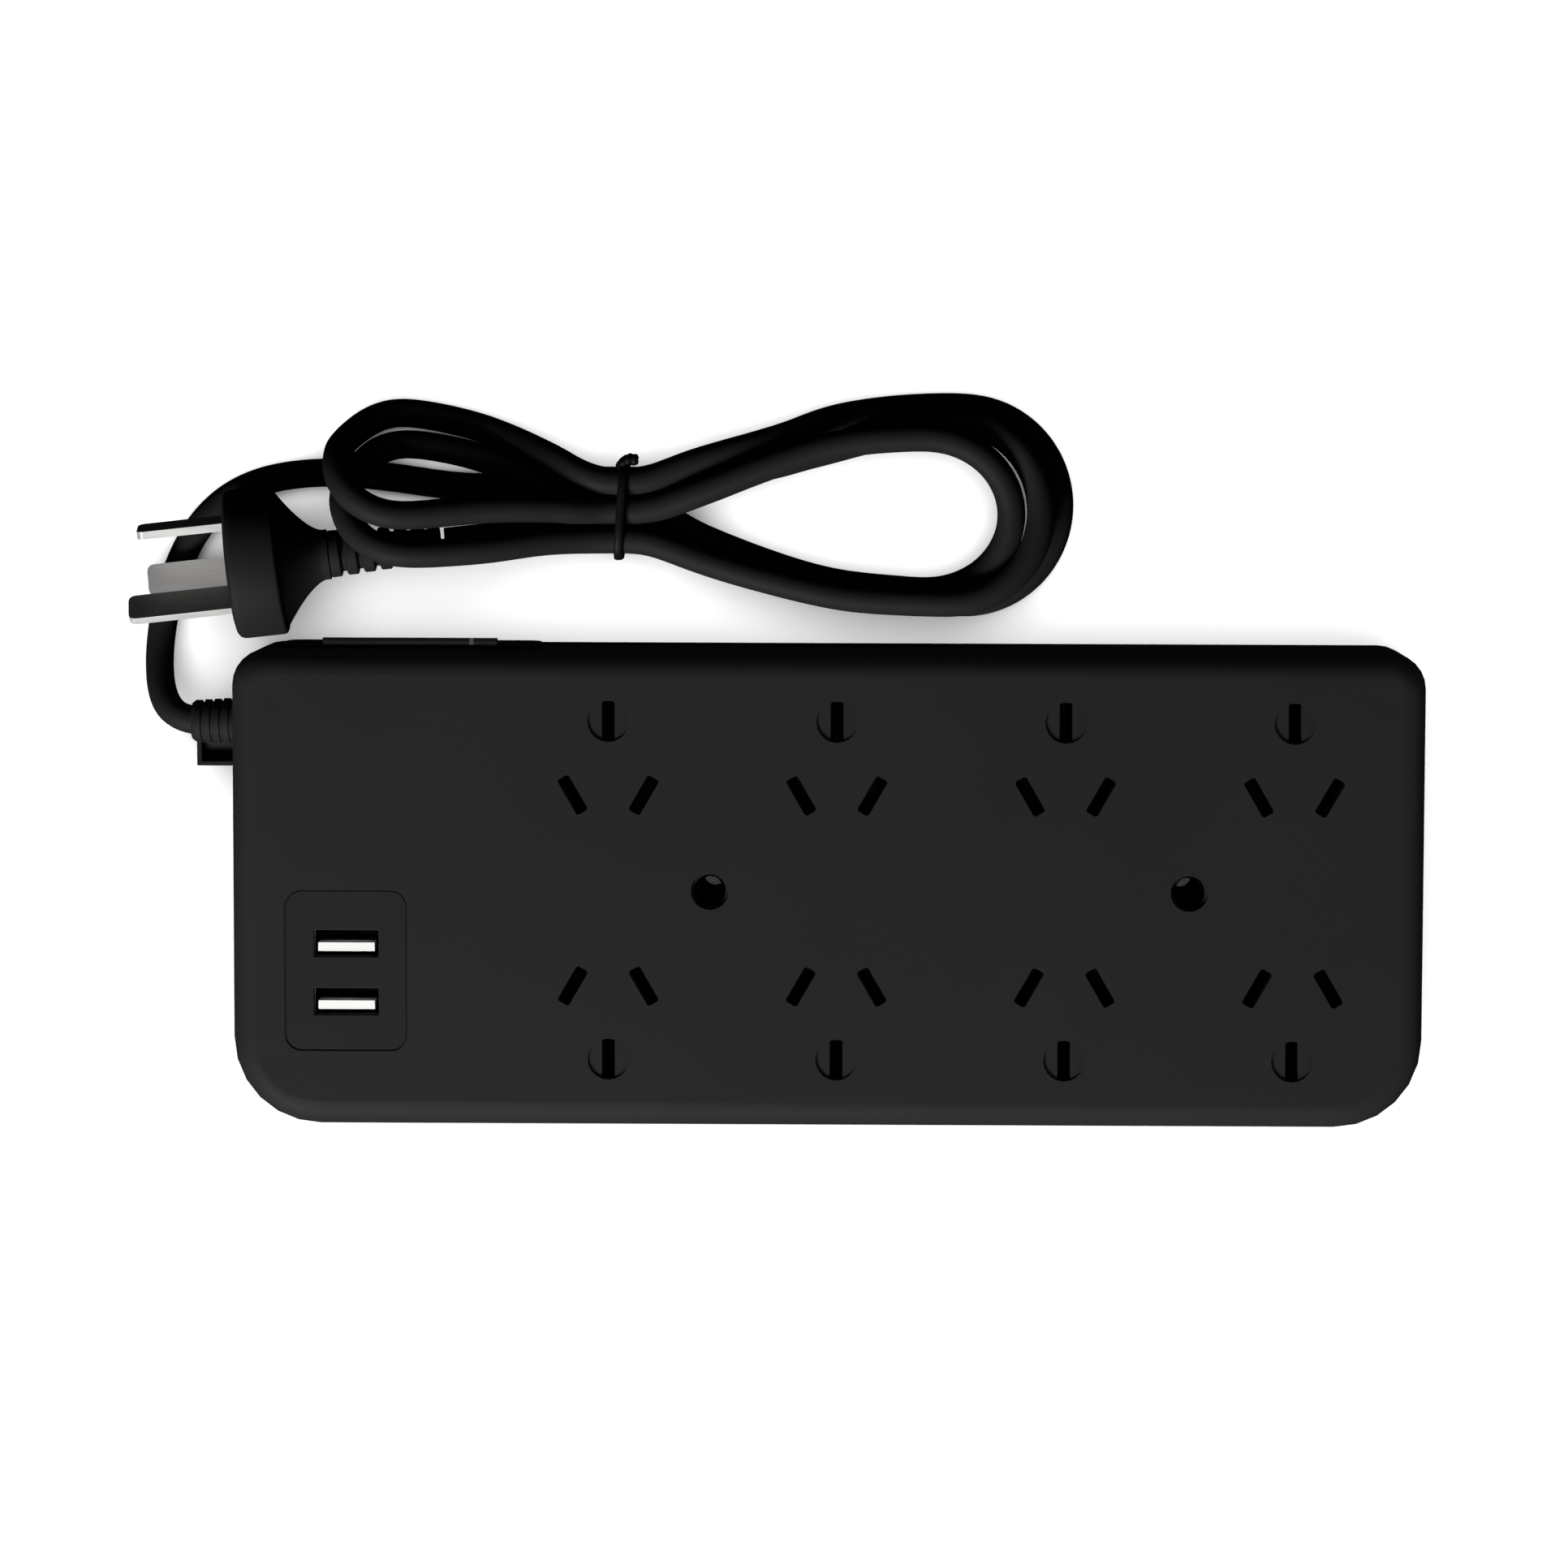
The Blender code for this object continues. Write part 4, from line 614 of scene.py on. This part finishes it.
# the plate's thin flange nearly fills the joint round it
low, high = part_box("usb_bezel")
joint, clear = 0.3 * mm, 0.03 * mm
bm = bmesh.new()
length, width = high.x - low.x + 2 * (joint - clear), high.y - low.y + 2 * (joint - clear)
place = Matrix.Translation(((low.x + high.x) / 2, (low.y + high.y) / 2, high.z - 0.02 * mm))
place @= Matrix.Diagonal((length, width, 1, 1))
bmesh.ops.create_grid(bm, x_segments=1, y_segments=1, size=0.5, matrix=place)
bmesh.ops.bevel(
    bm,
    geom=bm.verts[:],
    offset=3.2 * mm,
    offset_type="OFFSET",
    segments=8,
    profile=0.5,
    affect="VERTICES",
    material=-1,
)
middle = bm.faces[:]
bmesh.ops.inset_region(bm, faces=middle, thickness=joint - 2 * clear, use_boundary=True, use_even_offset=True)
bmesh.ops.delete(bm, geom=middle, context="FACES")
deeper = bmesh.ops.extrude_face_region(bm, geom=bm.faces[:], use_keep_orig=True)["geom"]
deep_verts = [v for v in deeper if isinstance(v, bmesh.types.BMVert)]
bmesh.ops.translate(bm, verts=deep_verts, vec=(0, 0, -1.2 * mm))
rim = solid("usb_plate_flange", bm, housing_abs, smooth=40)

port_plate = Finish("port_plate", (0.62, 0.62, 0.61), 0.3, Metallic=1.0)
port_plate.give("Roughness", port_plate.noise(700) * 0.2 + 0.22)
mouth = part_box("usb_shell_1")[1].z


def shade_below_mouth(finish, start, full):
    """0 at the mouth, 1 at the depth where the painted shade inside the port is full."""
    height = finish.add("ShaderNodeSeparateXYZ", {"Vector": finish.place}, output="Z")
    span = {"Value": height, "From Min": mouth - start * mm, "From Max": mouth - full * mm}
    return finish.add("ShaderNodeMapRange", span, output="Result", clamp=True)


# the shell goes from bright plated metal at the mouth to near black 0.9 mm down: painted shade inside the
# port
values = {0: shade_below_mouth(port_plate, 0.1, 0.9)}
stops = ((0, (0.60, 0.60, 0.59)), (1, (0.015, 0.015, 0.015)))
port_plate.give("Base Color", port_plate.add("ShaderNodeValToRGB", values, stops=stops))

tongue_white = Finish("tongue_white", (0.78, 0.78, 0.76), 0.5)
tongue_white.give("Roughness", tongue_white.noise(800) * 0.15 + 0.42)
# the tongue goes from white to near black between 1.0 and 1.9 mm below the mouth: painted shade inside the
# port
values = {0: shade_below_mouth(tongue_white, 1.0, 1.9)}
stops = ((0, (0.80, 0.80, 0.78)), (1, (0.02, 0.02, 0.02)))
tongue_white.give("Base Color", tongue_white.add("ShaderNodeValToRGB", values, stops=stops))

contact_gold = Finish("contact_gold", (0.75, 0.72, 0.66), 0.3, Metallic=0.5)
contact_gold.give("Roughness", contact_gold.noise(900) * 0.2 + 0.25)
wear = contact_gold.noise(400)
contact_gold.give("Base Color", contact_gold.between((0.66, 0.63, 0.56), (0.82, 0.79, 0.72), wear))
port_contacts = []
for i in (1, 2):
    shell = dressed(f"usb_shell_{i}", f"port_shell_{i}", port_plate, width=0.08)
    tongue = dressed(f"usb_tongue_{i}", f"port_tongue_{i}", tongue_white, width=0.12)
    low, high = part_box(f"usb_tongue_{i}")
    middle_x = (low.x + high.x) / 2
    bm = bmesh.new()
    for across in (-3.5, -1.0, 1.0, 3.5):
        blade = []
        for step in range(12):
            down = 0.7 + 0.7 * step
            bow = 0.30 * math.exp(-((down - 1.6) ** 2))
            blade.append((middle_x + across * mm, high.y + (0.14 + bow) * mm, high.z - down * mm))
        swept(bm, blade, 1.0 * mm, 0.22 * mm)
    contacts = solid(f"port_contacts_{i}", bm, contact_gold)
    port_contacts.append(contacts)

# ---------------------------------------------------------------- rocker switch
# A single rocker in a black glass-filled case clipped into the rear wall, with a short light
# tick printed near one end of its upper edge.

switch_case = Finish("switch_case", (0.009, 0.009, 0.009), 0.5, Specular_IOR_Level=0.12)
switch_case.give("Roughness", switch_case.noise(900) * 0.12 + 0.44)
switch_case.give("Normal", switch_case.relief(switch_case.noise(2200), 0.01 * mm))
rocker_abs = Finish("rocker_abs", (0.03, 0.03, 0.03), 0.45, Specular_IOR_Level=0.15)
rocker_abs.give("Roughness", rocker_abs.noise(1100) * 0.12 + 0.34)
rocker_abs.give("Normal", rocker_abs.relief(rocker_abs.noise(2000), 0.01 * mm))
along = rocker_abs.add("ShaderNodeSeparateXYZ", {"Vector": rocker_abs.place}, output="X")
upward = rocker_abs.add("ShaderNodeSeparateXYZ", {"Vector": rocker_abs.place}, output="Z")
edge = upward.maths("GREATER_THAN", upward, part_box("switch_rocker")[1].z - 1.2 * mm)
tick = along.maths("COMPARE", along, -69.5 * mm, 0.4 * mm) * edge
rocker_abs.give("Base Color", rocker_abs.between((0.03, 0.03, 0.03), (0.35, 0.35, 0.35), tick))
case = dressed("switch_body", "switch_case_moulding", switch_case, width=0.12)
rocker = dressed("switch_rocker", "rocker_moulding", rocker_abs, body="rocker", width=0.2)
painted(switch_case, "cord_clamp")

# ---------------------------------------------------------------- inside
# Pressed and plated contact strips, insulated leads and the small USB supply, as fitted before
# the base goes on.

# the brass is painted far darker than plated brass: painted shade for the contacts deep in the slots and the
# switch, with a random tone over it
contact_brass = Finish("contact_brass", (0.16, 0.15, 0.13), 0.45, Metallic=1.0)
contact_brass.give("Roughness", contact_brass.noise(600) * 0.2 + 0.4)
stain = contact_brass.noise(160)
contact_brass.give("Base Color", contact_brass.between((0.10, 0.095, 0.085), (0.20, 0.19, 0.165), stain))
painted(contact_brass, "switch_contact", "switch_terminal_load", "switch_terminal_supply")
for line in ("live", "neutral", "earth"):
    painted(contact_brass, f"{line}_bar_front", f"{line}_bar_rear")

for name, colour, leads in (
    ("live_core", (0.115, 0.045, 0.018), ("lead_supply", "lead_load", "link_live", "lead_usb_live")),
    ("neutral_core", (0.018, 0.075, 0.33), ("lead_neutral", "link_neutral", "lead_usb_neutral")),
    ("earth_core", (0.06, 0.23, 0.03), ("lead_earth", "link_earth")),
):
    core = Finish(name, colour, 0.4)
    darker = tuple(c * 0.8 for c in colour)
    core.give("Base Color", core.between(darker, colour, core.noise(300)))
    core.give("Roughness", core.noise(700) * 0.15 + 0.33)
    painted(core, *leads)
painted(flex_pvc, "cord_tail")

resist_green = Finish("resist_green", (0.02, 0.12, 0.05), 0.35)
mottle = resist_green.noise(500)
resist_green.give("Base Color", resist_green.between((0.015, 0.10, 0.04), (0.03, 0.15, 0.06), mottle))
resist_green.give("Roughness", resist_green.noise(900) * 0.15 + 0.28)
tape_yellow = Finish("tape_yellow", (0.62, 0.44, 0.06), 0.5)
mottle = tape_yellow.noise(250)
tape_yellow.give("Base Color", tape_yellow.between((0.55, 0.38, 0.05), (0.68, 0.50, 0.08), mottle))
tape_yellow.give("Roughness", tape_yellow.noise(500) * 0.2 + 0.4)
sleeve_black = Finish("sleeve_black", (0.02, 0.02, 0.03), 0.35)
mottle = sleeve_black.noise(200)
sleeve_black.give("Base Color", sleeve_black.between((0.015, 0.015, 0.025), (0.03, 0.03, 0.04), mottle))
sleeve_black.give("Roughness", sleeve_black.noise(600) * 0.15 + 0.28)
painted(resist_green, "usb_board")
painted(tape_yellow, "usb_transformer")
painted(sleeve_black, "usb_capacitor")

# ---------------------------------------------------------------- which light falls on what
# The contact strips get none of the key, so the slots stay black. The flex and what is on it have
# the key's copy, in whose light only they cast shadows.

unlit = [f"{line}_bar_{side}" for line in ("live", "neutral", "earth") for side in ("front", "rear")]
cable_light = bpy.data.collections.new("lit_by_flex_key")
bpy.context.scene.collection.children.link(cable_light)
cable = [flex, tie, plug_body, plug_relief, gland, *pins]
flex_key.light_linking.receiver_collection = cable_light
flex_key.light_linking.blocker_collection = cable_light
for piece in cable:
    cable_light.objects.link(piece)
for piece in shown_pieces():
    if piece.name not in unlit and piece not in cable:
        object_light.objects.link(piece)

# a narrow light from above picks out the rocker in the shade of the rear wall, and the port contacts
switch_light = bpy.data.collections.new("lit_by_switch_light")
bpy.context.scene.collection.children.link(switch_light)
for piece in (rocker, *port_contacts):
    switch_light.objects.link(piece)
softbox("switch_light", (-0.08, 0.25, 0.9), (-0.08, 0.045, 0.02), 0.2, 0.9, only=switch_light)
